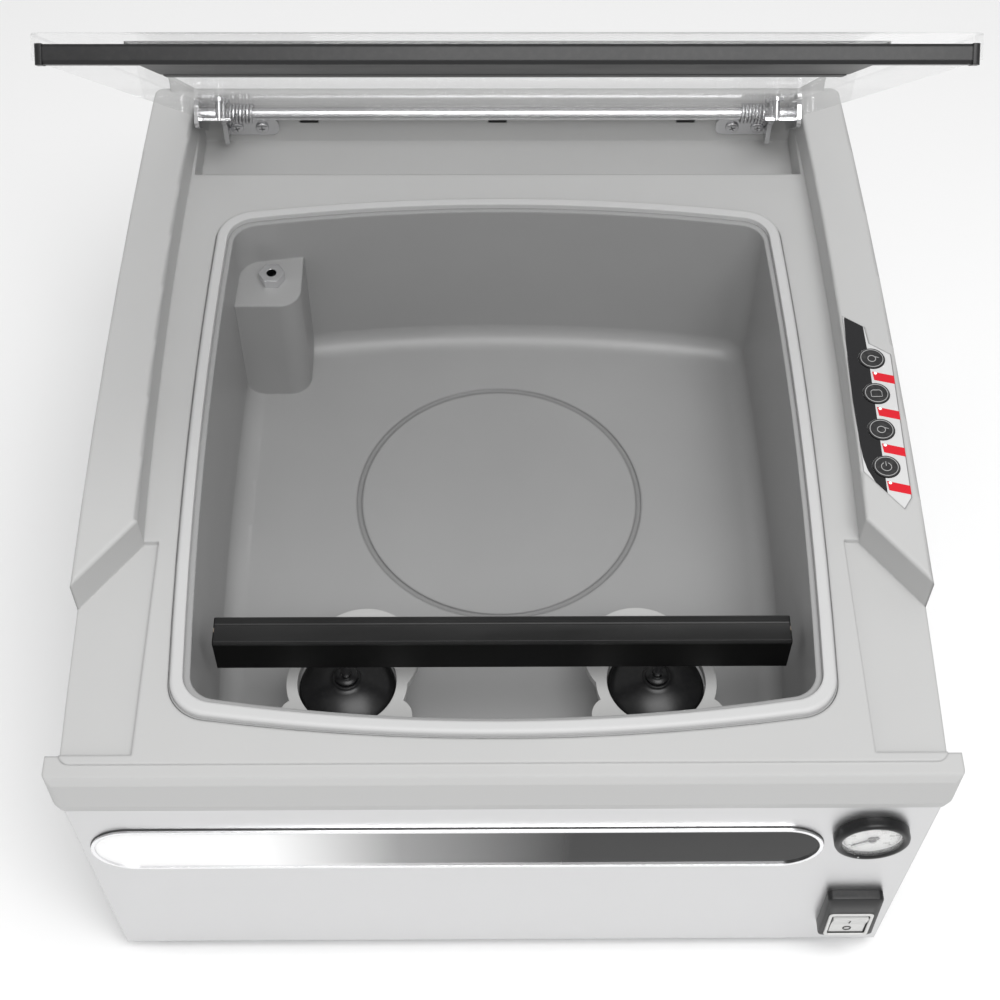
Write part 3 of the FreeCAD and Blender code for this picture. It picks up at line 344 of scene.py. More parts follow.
def brushed(name, colour, roughness, stretch, relief=0.01 * MM, edge=0.4 * MM, uneven=0.05):
    """Bare metal with brushing along its longest axis."""
    graph = new_finish(name)
    lines = graph.group("Brushed lines", Stretch=stretch)
    edges = graph.group("Soft edges", Radius=edge)
    tone = graph.blend(lines["Streak"], shade(colour, 1 - uneven), shade(colour, 1 + uneven))
    bump = graph.node("ShaderNodeBump", Distance=relief, Height=lines["Height"], Normal=edges["Normal"])
    rough = graph.remap(lines["Streak"], 0.0, 1.0, roughness * 0.85, roughness * 1.15)
    close_finish(graph, Base_Color=tone, Roughness=rough, Metallic=1.0, Normal=bump.outputs[0])


def make_cover_plastic():
    """Matt moulded cover."""
    surface("cover_plastic", settings().finish.cover, 0.5, edge=2.0 * MM, grain=1500.0,
            relief=0.015 * MM, uneven=0.02, rubbed=0.1)


def make_chamber_plastic():
    """Satin inside of the chamber, with painted shade in a band along the ring pressed in its floor."""
    colour = settings().finish.chamber
    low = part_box("chamber_tub")[0]
    ring_centre = (0.0, 9 * MM, 0.0)
    ring_radius = 85.5 * MM

    def groove_painted_shade(graph):
        moulded = graph.group("Moulded surface", Patch=14.0)
        tone = graph.blend(moulded["Tone"], shade(colour, 0.94), shade(colour, 1.06))
        level = graph.vector("MULTIPLY", graph.place(), (1.0, 1.0, 0.0))
        reach = graph.vector("LENGTH", graph.vector("SUBTRACT", level, ring_centre))
        off_ring = graph.math("ABSOLUTE", graph.math("SUBTRACT", reach, ring_radius))
        # Painted shade: the floor darkens in a soft band round the pressed ring, standing in for the shade
        # in its groove.
        near = graph.node("ShaderNodeMapRange", {"interpolation_type": "SMOOTHSTEP"}, Value=off_ring,
                          From_Min=1.0 * MM, From_Max=3.2 * MM, To_Min=0.5, To_Max=0.0).outputs[0]
        height = graph.node("ShaderNodeSeparateXYZ", Vector=graph.place()).outputs["Z"]
        floor_only = graph.remap(height, low.z + 8 * MM, low.z + 12 * MM, 1.0, 0.0)
        return graph.blend(graph.math("MULTIPLY", near, floor_only), tone, shade(colour, 0.5))

    surface("chamber_plastic", colour, 0.4, edge=2.0 * MM, grain=1200.0, relief=0.012 * MM,
            rubbed=0.05, colour_source=groove_painted_shade)


def make_gasket_rubber():
    """Soft grey seal."""
    surface("gasket_rubber", settings().finish.gasket, 0.55, edge=1.5 * MM, grain=2600.0, uneven=0.03)


def make_chrome_plate():
    """Bright plated parts."""
    surface("chrome_plate", (0.78, 0.78, 0.79), 0.14, edge=0.5 * MM, relief=0.004 * MM, uneven=0.05,
            Metallic=1.0)


def make_tray_steel():
    """Zinc-coated sheet with its spangle."""

    def spangle(graph):
        cells = graph.node("ShaderNodeTexVoronoi", Scale=90.0, Vector=graph.place()).outputs["Color"]
        level = graph.node("ShaderNodeSeparateColor", Color=cells).outputs["Red"]
        return graph.blend(level, (0.42, 0.43, 0.44, 1.0), (0.60, 0.61, 0.63, 1.0))

    surface("tray_steel", (0.5, 0.51, 0.53), 0.42, edge=0.5 * MM, colour_source=spangle, Metallic=1.0)


def make_panel_steel():
    """Brushed stainless sheet of the base."""
    brushed("panel_steel", settings().finish.panel, 0.34, (7.0, 7.0, 1600.0), relief=0.002 * MM,
            edge=1.0 * MM, uneven=0.02)


def make_screw_steel():
    """Bright fasteners, brackets and pins."""
    surface("screw_steel", (0.62, 0.62, 0.63), 0.24, edge=0.4 * MM, grain=2500.0,
            relief=0.006 * MM, uneven=0.1, Metallic=1.0)


def make_foot_rubber():
    """Black rubber of the feet and the lifting bellows."""
    surface("foot_rubber", (0.008, 0.008, 0.0085), 0.32, edge=1.0 * MM, grain=2600.0,
            relief=0.004 * MM, uneven=0.1, rubbed=0.03, dust=0.01, Specular_IOR_Level=0.35)


def make_mirror_trim():
    """Glossy plate coloured from white on the left to black on the right."""

    def fade(graph):
        low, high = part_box("trim_strip")
        across = graph.node("ShaderNodeSeparateXYZ", Vector=graph.place()).outputs["X"]
        share = graph.remap(across, low.x, high.x, 0.0, 1.0)
        ramp = graph.node("ShaderNodeValToRGB", Fac=share)
        stops = ramp.color_ramp.elements
        stops[0].position, stops[0].color = 0.24, (0.95, 0.95, 0.95, 1.0)
        stops[1].position, stops[1].color = 0.66, (0.008, 0.008, 0.008, 1.0)
        middle = stops.new(0.42)
        middle.color = (0.30, 0.30, 0.30, 1.0)
        return ramp.outputs["Color"]

    surface("mirror_trim", (0.5, 0.5, 0.5), 0.12, edge=0.3 * MM, relief=0.002 * MM, rubbed=0.05,
            colour_source=fade, Specular_IOR_Level=0.15)


def make_trim_frame():
    """Bright thin frame round the plate."""
    surface("trim_frame", (0.82, 0.82, 0.83), 0.2, edge=0.5 * MM, relief=0.004 * MM, Metallic=1.0)


def make_black_plastic():
    """Satin black mouldings."""
    surface("black_plastic", settings().finish.black, 0.33, edge=0.8 * MM, grain=1600.0,
            relief=0.01 * MM, uneven=0.15, rubbed=0.08, dust=0.015, Specular_IOR_Level=0.3)


def make_dial_white():
    """Printed card of the gauge."""
    surface("dial_white", (0.86, 0.86, 0.85), 0.5, edge=0.2 * MM, relief=0.004 * MM, uneven=0.02)


def make_needle_black():
    """Painted pointer."""
    surface("needle_black", (0.012, 0.012, 0.012), 0.3, edge=0.15 * MM, uneven=0.2)


def make_clear(name, colour, roughness, scratches, body):
    """Clear part with the faint wipe marks of use; body is the share that bends light."""
    graph = new_finish(name)
    wipes = graph.noise(1.0, 3.0, graph.stretched((30.0, 420.0, 420.0)))
    marks = graph.remap(wipes, 0.62, 0.8, 0.0, 1.0)
    rough = graph.remap(marks, 0.0, 1.0, roughness, roughness + scratches)
    bump = graph.node("ShaderNodeBump", Distance=0.003 * MM, Height=marks)
    tone = graph.blend(marks, shade(colour, 1.0), shade(colour, 0.97))
    close_finish(graph, Base_Color=tone, Roughness=rough, Normal=bump.outputs[0],
                 Transmission_Weight=1.0, IOR=1.49, Alpha=body)


def make_gauge_window():
    """Clear window of the gauge."""
    make_clear("gauge_window", (0.98, 0.985, 0.985), 0.02, 0.05, 0.25)


def make_clear_acrylic():
    """Clear acrylic lid."""
    make_clear("clear_acrylic", (0.98, 0.99, 0.99), 0.015, 0.06, 0.22)


def make_rocker_plastic():
    """Pale grey rocker."""
    surface("rocker_plastic", (0.62, 0.62, 0.61), 0.3, edge=0.6 * MM, uneven=0.03)


def make_keypad_film():
    """Light part of the printed film."""
    surface("keypad_film", settings().finish.film, 0.28, edge=0.3 * MM, grain=3000.0,
            relief=0.006 * MM, uneven=0.02)


def make_light_lens():
    """White lens of a pilot light, faintly lit."""
    surface("light_lens", (0.92, 0.92, 0.90), 0.15, edge=0.2 * MM, Emission_Color=(1, 1, 0.97, 1),
            Emission_Strength=0.35)


def make_button_plastic():
    """Soft black push buttons."""
    surface("button_plastic", (0.016, 0.016, 0.017), 0.36, edge=0.5 * MM, grain=2500.0,
            relief=0.01 * MM, uneven=0.2, dust=0.05)


def make_silicone():
    """Dark pressing strip under the lid."""
    surface("silicone", (0.10, 0.10, 0.10), 0.5, edge=0.6 * MM, grain=2000.0)


def make_bar_resin():
    """Black body of the sealing bar."""
    surface("bar_resin", (0.003, 0.003, 0.003), 0.5, edge=0.7 * MM, grain=1500.0,
            relief=0.01 * MM, uneven=0.2, rubbed=0.03, Specular_IOR_Level=0.2)


def make_wire_metal():
    """Bare resistance wire with heat tint."""
    surface("wire_metal", (0.42, 0.36, 0.30), 0.35, edge=0.1 * MM, uneven=0.25, Metallic=1.0)


def make_tape_film():
    """Non-stick coated glass cloth with its weave."""

    def cloth(graph):
        weave = graph.group("Woven cloth", Threads=850.0)
        patches = graph.remap(graph.noise(1.0, 3.0, graph.stretched((18.0, 90.0, 90.0))), 0.3, 0.7, 0.0, 1.0)
        threads = graph.blend(weave["Thread"], (0.007, 0.007, 0.007, 1.0), (0.014, 0.014, 0.014, 1.0))
        return graph.blend(graph.math("MULTIPLY", patches, 0.35), threads, (0.03, 0.03, 0.03, 1.0))

    surface("tape_film", (0.01, 0.01, 0.01), 0.34, edge=0.5 * MM, relief=0.02 * MM, rubbed=0.15,
            colour_source=cloth, height_source=lambda g: g.group("Woven cloth", Threads=850.0)["Height"],
            Specular_IOR_Level=0.25)


def make_collar_plastic():
    """Pale retaining collars."""
    surface("collar_plastic", (0.50, 0.50, 0.495), 0.42, edge=0.8 * MM, uneven=0.06)


def make_cast_metal():
    """Sand-cast aluminium of the pump."""
    surface("cast_metal", (0.46, 0.46, 0.47), 0.5, edge=0.8 * MM, grain=500.0, relief=0.08 * MM,
            uneven=0.12, Metallic=1.0)


def make_fan_plastic():
    """Black moulded fans."""
    surface("fan_plastic", (0.03, 0.03, 0.03), 0.45, edge=0.5 * MM, uneven=0.15, dust=0.2)


def make_transformer_steel():
    """Varnished laminations."""

    def sheets(graph):
        layers = graph.noise(1.0, 1.0, graph.stretched((1.0, 1800.0, 1.0)))
        return graph.blend(layers, (0.05, 0.035, 0.028, 1.0), (0.13, 0.09, 0.07, 1.0))

    surface("transformer_steel", (0.09, 0.06, 0.05), 0.4, edge=0.6 * MM, colour_source=sheets)


def make_board_resin():
    """Circuit board with copper tracks under green lacquer."""

    def tracks(graph):
        cells = graph.node("ShaderNodeTexBrick", {"offset": 0.5}, Vector=graph.place(), Scale=120.0,
                           Mortar_Size=0.03)
        return graph.blend(cells.outputs["Fac"], (0.012, 0.10, 0.035, 1.0), (0.03, 0.2, 0.07, 1.0))

    surface("board_resin", (0.02, 0.15, 0.05), 0.3, edge=0.3 * MM, colour_source=tracks)


def make_inlet_plastic():
    """Black body of the mains inlet."""
    surface("inlet_plastic", (0.02, 0.02, 0.02), 0.4, edge=0.6 * MM, uneven=0.15, dust=0.06)


def make_silencer_bronze():
    """Sintered bronze grains."""

    def grains(graph):
        cells = graph.node("ShaderNodeTexVoronoi", Scale=1100.0, Vector=graph.place()).outputs
        return graph.math("SUBTRACT", 1.0, graph.math("MULTIPLY", cells["Distance"], 1.4))

    surface("silencer_bronze", (0.45, 0.29, 0.12), 0.4, edge=0.5 * MM, relief=0.25 * MM, uneven=0.15,
            height_source=grains, Metallic=1.0)


def make_hose_rubber():
    """Black hoses and cable sheaths."""
    surface("hose_rubber", (0.02, 0.02, 0.02), 0.5, edge=0.3 * MM, uneven=0.2, dust=0.08)


def make_plunger_steel():
    """Ground steel valve plungers."""
    brushed("plunger_steel", (0.55, 0.55, 0.56), 0.28, (1500.0, 1500.0, 20.0))


def make_print_black():
    """Black printed area of the keypad film."""
    surface("print_black", (0.010, 0.010, 0.011), 0.24, edge=0.2 * MM, grain=3000.0,
            relief=0.006 * MM, uneven=0.2)


def make_print_red():
    """Red printed tabs of the keypad film."""
    surface("print_red", settings().finish.tabs, 0.26, edge=0.2 * MM, grain=3000.0,
            relief=0.006 * MM, uneven=0.05)


def make_print_grey():
    """Pale lines printed on black parts."""
    surface("print_grey", (0.42, 0.42, 0.42), 0.35, edge=0.1 * MM, uneven=0.05)


def make_print_dark():
    """Dark lines printed on pale parts."""
    surface("print_dark", (0.03, 0.03, 0.03), 0.4, edge=0.1 * MM, uneven=0.1)


FINISH_MAKERS = (
    make_cover_plastic, make_chamber_plastic, make_gasket_rubber, make_chrome_plate, make_tray_steel,
    make_panel_steel, make_screw_steel, make_foot_rubber, make_mirror_trim, make_trim_frame,
    make_black_plastic, make_dial_white, make_needle_black, make_gauge_window, make_clear_acrylic,
    make_rocker_plastic, make_keypad_film, make_light_lens, make_button_plastic, make_silicone,
    make_bar_resin, make_wire_metal, make_tape_film, make_collar_plastic, make_cast_metal,
    make_fan_plastic, make_transformer_steel, make_board_resin, make_inlet_plastic,
    make_silencer_bronze, make_hose_rubber, make_plunger_steel, make_print_black, make_print_red,
    make_print_grey, make_print_dark)


# ---- mesh helpers --------------------------------------------------------------------
def centre_of(node):
    """Middle of a frame node's box."""
    low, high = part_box(node)
    return (low + high) / 2


def solids_of(node):
    """Corner points of each separate solid in a frame node, as lists of vectors."""
    mesh = bmesh.new()
    mesh.from_mesh(frame["nodes"][node].data)
    bmesh.ops.remove_doubles(mesh, verts=mesh.verts, dist=0.005 * MM)
    waiting = set(mesh.verts)
    found = []
    while waiting:
        reached = [waiting.pop()]
        for vertex in reached:
            linked = {edge.other_vert(vertex) for edge in vertex.link_edges} & waiting
            waiting -= linked
            reached.extend(linked)
        found.append([vertex.co.copy() for vertex in reached])
    mesh.free()
    return found


def face_depth(node, x, z):
    """Y of the first point of a frame node met from the front at a place."""
    piece = frame["nodes"][node]
    back_to_piece = piece.matrix_world.inverted()
    start = back_to_piece @ Vector((x, frame_box[0].y - 0.1, z))
    way = back_to_piece.to_3x3() @ Vector((0.0, 1.0, 0.0))
    hit, place = piece.ray_cast(start, way)[:2]
    if not hit:
        raise RuntimeError("nothing of %s lies behind this place" % node)
    return (piece.matrix_world @ place).y


def box_of(points):
    """Lowest and highest corner of some points."""
    return (Vector(min(p[axis] for p in points) for axis in range(3)),
            Vector(max(p[axis] for p in points) for axis in range(3)))


def object_from(name, mesh, finish):
    """Object with a plain mesh and one finish, smooth except at its sharp edges."""
    return object_with(name, mesh_data(name, mesh), finish)


def mesh_data(name, mesh):
    """Plain mesh data from a finished bmesh, with its normals outward."""
    data = bpy.data.meshes.new(name)
    bmesh.ops.recalc_face_normals(mesh, faces=mesh.faces)
    mesh.to_mesh(data)
    mesh.free()
    return data


def object_with(name, data, finish):
    """Object with ready mesh data and one finish."""
    piece = bpy.data.objects.new(name, data)
    bpy.context.scene.collection.objects.link(piece)
    data.materials.clear()
    data.materials.append(bpy.data.materials[finish])
    data.polygons.foreach_set("use_smooth", [True] * len(data.polygons))
    data.set_sharp_from_angle(angle=SHARP_ANGLE)
    return piece


def settle(piece, body, slot, *stands_for):
    """Let a piece ride on a body and hide the nodes it stands for; the slot argument is not used."""
    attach(piece, body)
    if stands_for:
        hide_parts(*stands_for)
    return piece


def loft(mesh, loops, cap_start=True, cap_end=True, closed=False):
    """Skin over a row of loops of points that all have the same count."""
    rings = [[mesh.verts.new(point) for point in loop] for loop in loops]
    count = len(rings[0])
    pairs = list(zip(rings, rings[1:]))
    if closed:
        pairs.append((rings[-1], rings[0]))
    for ring, following in pairs:
        for index in range(count):
            after = (index + 1) % count
            mesh.faces.new((ring[index], ring[after], following[after], following[index]))
    if cap_start and not closed:
        mesh.faces.new(rings[0])
    if cap_end and not closed:
        mesh.faces.new(reversed(rings[-1]))


def rounded_rectangle(half_x, half_y, radius, steps=5):
    """Points of a rectangle with round corners, centred on zero."""
    points = []
    for corner, (sign_x, sign_y) in enumerate(((1, 1), (-1, 1), (-1, -1), (1, -1))):
        for step in range(steps + 1):
            angle = math.radians(90 * (corner + step / steps))
            points.append((sign_x * (half_x - radius) + radius * math.cos(angle),
                           sign_y * (half_y - radius) + radius * math.sin(angle)))
    return points


def turned(name, profile, centre, axis, finish, steps=64):
    """Piece turned on a lathe from a closed loop of (radius, distance along the axis) points."""
    mesh = bmesh.new()
    along = Vector(axis)
    side = along.orthogonal().normalized()
    other = along.cross(side)
    loops = []
    for step in range(steps):
        angle = 2 * math.pi * step / steps
        outward = side * math.cos(angle) + other * math.sin(angle)
        loops.append([centre + outward * radius + along * distance for radius, distance in profile])
    loft(mesh, loops, closed=True)
    bmesh.ops.remove_doubles(mesh, verts=mesh.verts, dist=0.001 * MM)
    return object_from(name, mesh, finish)


def slab(name, outline, low, high, finish):
    """Flat upright piece over a plan outline."""
    mesh = bmesh.new()
    loft(mesh, [[Vector((x, y, low)) for x, y in outline], [Vector((x, y, high)) for x, y in outline]])
    return object_from(name, mesh, finish)


# ---- geometry node trees -------------------------------------------------------------


def close_tree(graph, geometry, finish, result):
    """Last nodes of a tree: real geometry with its finish."""
    real = graph.node("GeometryNodeRealizeInstances", Geometry=geometry).outputs[0]
    painted = graph.node("GeometryNodeSetMaterial", Geometry=real, Material=finish).outputs[0]
    graph.feed(result["Geometry"], painted)


def new_tree(name, inputs):
    """Empty geometry tree that takes base geometry and a finish besides its own inputs."""
    sockets = {"Geometry": (GEOMETRY, None), **inputs, "Material": ("NodeSocketMaterial", None)}
    return new_group(name, sockets, {"Geometry": GEOMETRY}, "GeometryNodeTree")


def make_row_tree():
    """Repeats a pattern along a straight line."""
    graph, given, result = new_tree(
        "Repeat in a row",
        {"Count": (WHOLE, 4), "First": (VECTOR, ORIGIN), "Step": (VECTOR, (0.01, 0.0, 0.0))})
    line = graph.node("GeometryNodeMeshLine", {"mode": "OFFSET"}, Count=given["Count"],
                      Start_Location=given["First"], Offset=given["Step"])
    copies = graph.node("GeometryNodeInstanceOnPoints", Points=line.outputs[0],
                        Instance=given["Geometry"])
    close_tree(graph, copies.outputs[0], given["Material"], result)


def make_ring_tree():
    """Repeats a pattern round a centre, turned about the Y axis from a first angle."""
    graph, given, result = new_tree(
        "Repeat round a centre",
        {"Count": (WHOLE, 6), "Centre": (VECTOR, ORIGIN), "Axis": (VECTOR, (0.0, 1.0, 0.0)),
         "First": (NUMBER, 0.0), "Step": (NUMBER, 1.0)})
    points = graph.node("GeometryNodeMeshLine", {"mode": "OFFSET"}, Count=given["Count"],
                        Start_Location=given["Centre"], Offset=(0.0, 0.0, 0.0))
    index = graph.node("GeometryNodeInputIndex").outputs[0]
    angle = graph.math("MULTIPLY_ADD", index, given["Step"], given["First"])
    turn = graph.node("FunctionNodeAxisAngleToRotation", Axis=given["Axis"], Angle=angle)
    copies = graph.node("GeometryNodeInstanceOnPoints", Points=points.outputs[0],
                        Instance=given["Geometry"], Rotation=turn.outputs[0])
    close_tree(graph, copies.outputs[0], given["Material"], result)


def make_places_tree():
    """Puts a screw-like pattern at every point of the base mesh, all turned one way."""
    graph, given, result = new_tree(
        "Repeat at places",
        {"Pattern": ("NodeSocketObject", None), "Turn": ("NodeSocketRotation", ORIGIN),
         "Spread": (NUMBER, 0.6)})
    pattern = graph.node("GeometryNodeObjectInfo", Object=given["Pattern"]).outputs["Geometry"]
    spin = graph.node("FunctionNodeRandomValue", {"data_type": "FLOAT"}, Min=0.0, Max=given["Spread"],
                      Seed=7).outputs[1]
    own_turn = graph.node("FunctionNodeAxisAngleToRotation", Axis=(0.0, 0.0, 1.0), Angle=spin)
    turn = graph.node("FunctionNodeRotateRotation", {"rotation_space": "LOCAL"}, Rotation=given["Turn"],
                      Rotate_By=own_turn.outputs[0])
    copies = graph.node("GeometryNodeInstanceOnPoints", Points=given["Geometry"], Instance=pattern,
                        Rotation=turn.outputs[0])
    close_tree(graph, copies.outputs[0], given["Material"], result)


def make_bead_tree():
    """Sweeps a round or flattened section along the edges of the base mesh."""
    graph, given, result = new_tree(
        "Bead along a path", {"Radius": (NUMBER, MM), "Sides": (WHOLE, 8)})
    path = graph.node("GeometryNodeMeshToCurve", Mesh=given["Geometry"]).outputs[0]
    section = graph.node("GeometryNodeCurvePrimitiveCircle", Resolution=given["Sides"],
                         Radius=given["Radius"]).outputs[0]
    bead = graph.node("GeometryNodeCurveToMesh", Curve=path, Profile_Curve=section, Fill_Caps=True)
    close_tree(graph, bead.outputs[0], given["Material"], result)


def make_coil_tree():
    """Close-wound spring round the X axis."""
    graph, given, result = new_tree(
        "Coil spring", {"Turns": (NUMBER, 5.0), "Radius": (NUMBER, MM), "Length": (NUMBER, MM),
                        "Wire": (NUMBER, MM), "Start": (VECTOR, ORIGIN)})
    spiral = graph.node("GeometryNodeCurveSpiral", Resolution=24, Rotations=given["Turns"],
                        Start_Radius=given["Radius"], End_Radius=given["Radius"], Height=given["Length"])
    section = graph.node("GeometryNodeCurvePrimitiveCircle", Resolution=8, Radius=given["Wire"])
    wire = graph.node("GeometryNodeCurveToMesh", Curve=spiral.outputs[0],
                      Profile_Curve=section.outputs[0], Fill_Caps=True)
    laid = graph.node("GeometryNodeTransform", Geometry=wire.outputs[0], Translation=given["Start"],
                      Rotation=(0.0, math.pi / 2, 0.0))
    close_tree(graph, laid.outputs[0], given["Material"], result)


TREE_MAKERS = (make_row_tree, make_ring_tree, make_places_tree, make_bead_tree, make_coil_tree)


def grown(name, tree_name, base, finish, **inputs):
    """Plain-mesh object that a geometry node tree grows from base mesh data."""
    tree = bpy.data.node_groups[tree_name]
    seed = bpy.data.objects.new(name + "_seed", base)
    bpy.context.scene.collection.objects.link(seed)
    modifier = seed.modifiers.new(tree_name, "NODES")
    modifier.node_group = tree
    inputs["Material"] = bpy.data.materials[finish]
    for item in tree.interface.items_tree:
        if item.in_out == "INPUT" and item.name in inputs:
            modifier[item.identifier] = inputs[item.name]
    bpy.context.view_layer.update()
    evaluated = seed.evaluated_get(bpy.context.evaluated_depsgraph_get())
    data = bpy.data.meshes.new_from_object(evaluated)
    data.name = name
    bpy.data.objects.remove(seed)
    return object_with(name, data, finish)


def points_mesh(points, joined=False, closed=False):
    """Mesh of bare points, or of the edges that join them in order."""
    edges = [(index, index + 1) for index in range(len(points) - 1)] if joined else []
    if closed:
        edges.append((len(points) - 1, 0))
    data = bpy.data.meshes.new("points")
    data.from_pydata([tuple(point) for point in points], edges, [])
    return data


def bead(name, points, radius, finish, closed=False, sides=8):
    """Thin round line along some points."""
    return grown(name, "Bead along a path", points_mesh(points, True, closed), finish, Radius=radius,
                 Sides=sides)


def joined(name, pieces):
    """One object from several that share a finish."""
    mesh = bmesh.new()
    finish = pieces[0].data.materials[0].name
    for piece in pieces:
        mesh.from_mesh(piece.data)
        bpy.data.objects.remove(piece)
    data = bpy.data.meshes.new(name)
    mesh.to_mesh(data)
    mesh.free()
    return object_with(name, data, finish)


# ---- gauge ---------------------------------------------------------------------------
SCALE_SWEEP = math.radians(250)


def dial_point(centre, radius, angle, depth):
    """Point on the dial; the angle runs clockwise from straight up as seen from the front."""
    return Vector((centre.x + radius * math.sin(angle), depth, centre.z + radius * math.cos(angle)))


def tick_mesh(inner, outer, width, thick):
    """One mark that stands straight up above the origin, on the front of a dial."""
    mesh = bmesh.new()
    loft(mesh, [[(-width / 2, y, inner), (width / 2, y, inner), (width / 2, y, outer),
                 (-width / 2, y, outer)] for y in (-thick, 0.0)])
    return mesh_data("tick", mesh)


def make_dial_marks():
    """Ticks, scale line and figures on the dial."""
    detail = settings().detail
    low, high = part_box("gauge_dial")
    centre = Vector(((low.x + high.x) / 2, low.y, (low.z + high.z) / 2))
    edge = (high.x - low.x) / 2 - 1.0 * MM
    thick = detail.print_height
    fine = grown("dial_ticks", "Repeat round a centre",
                 tick_mesh(edge - detail.tick_length, edge, 0.25 * MM, thick), "print_dark",
                 Count=detail.dial_ticks, Centre=centre, First=-SCALE_SWEEP / 2,
                 Step=SCALE_SWEEP / (detail.dial_ticks - 1))
    bold = grown("dial_marks", "Repeat round a centre",
                 tick_mesh(edge - 1.8 * detail.tick_length, edge, 0.5 * MM, thick), "print_dark",
                 Count=6, Centre=centre, First=-SCALE_SWEEP / 2, Step=SCALE_SWEEP / 5)
    arc = [dial_point(centre, edge, -SCALE_SWEEP / 2 + SCALE_SWEEP * step / 40, centre.y - thick / 2)
           for step in range(41)]
    line = bead("dial_arc", arc, 0.12 * MM, "print_dark", sides=4)
    figures = [dial_figure(str(20 * number), dial_point(centre, edge - 4.2 * MM,
                           -SCALE_SWEEP / 2 + SCALE_SWEEP * number / 5, centre.y)) for number in range(6)]
    settle(joined("dial_print", [fine, bold, line] + figures), "machine", "needle_black")


def dial_figure(text, place):
    """Small number that faces the front."""
    curve = bpy.data.curves.new("figure", "FONT")
    curve.body = text
    curve.size = 2.6 * MM
    curve.align_x = "CENTER"
    curve.align_y = "CENTER"
    curve.extrude = 0.02 * MM
    seed = bpy.data.objects.new("figure", curve)
    bpy.context.scene.collection.objects.link(seed)
    bpy.context.view_layer.update()
    data = bpy.data.meshes.new_from_object(seed.evaluated_get(bpy.context.evaluated_depsgraph_get()))
    bpy.data.objects.remove(seed)
    data.transform(Matrix.Translation(place) @ Matrix.Rotation(math.pi / 2, 4, "X"))
    return object_with("figure", data, "print_dark")


def make_gauge_ring():
    """Stepped black bezel with two bright pips on its face."""
    low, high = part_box("gauge_bezel")
    outer = (high.x - low.x) / 2
    deep = high.y - low.y
    bore = (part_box("gauge_dial")[1].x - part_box("gauge_dial")[0].x) / 2 + 0.1 * MM
    centre = Vector(((low.x + high.x) / 2, low.y, (low.z + high.z) / 2))
    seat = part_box("gauge_case")[0].y - low.y
    case_radius = (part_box("gauge_case")[1].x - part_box("gauge_case")[0].x) / 2
    profile = [(outer, deep), (outer, 1.6 * MM), (outer - 0.5 * MM, 0.5 * MM), (outer - 1.3 * MM, 0.0),
               (bore + 1.4 * MM, 0.0), (bore + 0.7 * MM, 0.35 * MM), (bore, 1.1 * MM), (bore, seat),
               (case_radius, seat), (case_radius, deep)]
    ring = turned("gauge_ring", profile, centre, (0, 1, 0), "black_plastic", 96)
    settle(ring, "machine", "black_plastic", "gauge_bezel")
    pips = []
    for side in (-1, 1):
        place = centre + Vector((side * 0.25 * outer, 0.0, side * 0.93 * (outer + bore) / 2))
        pips.append(turned("pip", [(0.0, 0.3 * MM), (0.7 * MM, 0.3 * MM), (0.6 * MM, -0.0 * MM),
                                   (0.0, -0.0 * MM)], place, (0, 1, 0), "print_grey", 16))
    settle(joined("gauge_pips", pips), "machine", "needle_black")


class PACKER_OT_gauge(Operator):
    """Build the vacuum gauge: bezel, scale and figures"""

    bl_idname = "packer.gauge"
    bl_label = "Vacuum gauge"

    def execute(self, context):
        make_gauge_ring()
        make_dial_marks()
        return {"FINISHED"}


# ---- keypad --------------------------------------------------------------------------
BUTTONS = ("keypad_button_1", "keypad_button_2", "keypad_button_3", "keypad_button_4")


def film_point(across, back):
    """Point of the keypad film from its left edge and its front edge, as shares of its size."""
    low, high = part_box("control_film")
    return low.x + across * (high.x - low.x), low.y + back * (high.y - low.y)


def make_keypad_print():
    """Black printed field on the left of the film, cut out round the buttons and lights."""
    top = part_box("control_film")[1].z
    thick = settings().detail.print_height
    corners = [(0.10, 0.985), (0.12, 1.0), (0.50, 0.945), (0.51, 0.80), (0.42, 0.075), (0.36, 0.065),
               (0.20, 0.13), (0.08, 0.19), (0.025, 0.25), (0.005, 0.33), (0.005, 0.55), (0.03, 0.75)]
    outline = [film_point(*corner) for corner in corners]
    field = slab("print_field", outline, top, top + thick, "print_black")
    radius = (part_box(BUTTONS[0])[1].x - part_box(BUTTONS[0])[0].x) / 2 + 0.45 * MM
    holes = [(centre_of(name), radius) for name in BUTTONS]
    holes += [(sum(points, Vector()) / len(points), 1.3 * MM) for points in solids_of("pilot_lights")]
    cutters = [turned("cutter", [(0.0, -MM), (size, -MM), (size, MM), (0.0, MM)],
                      Vector((place.x, place.y, top)), (0, 0, 1), "print_black", 48)
               for place, size in holes]
    field = carved("keypad_print", field, joined("cutters", cutters))
    settle(field, "machine", "button_plastic")


def carved(name, solid, cutter):
    """The solid with a cutter taken away, as a plain mesh."""
    modifier = solid.modifiers.new("Cut", "BOOLEAN")
    modifier.object = cutter
    modifier.operation = "DIFFERENCE"
    modifier.solver = "EXACT"
    bpy.context.view_layer.update()
    data = bpy.data.meshes.new_from_object(solid.evaluated_get(bpy.context.evaluated_depsgraph_get()))
    finish = solid.data.materials[0].name
    bpy.data.objects.remove(solid)
    bpy.data.objects.remove(cutter)
    return object_with(name, data, finish)


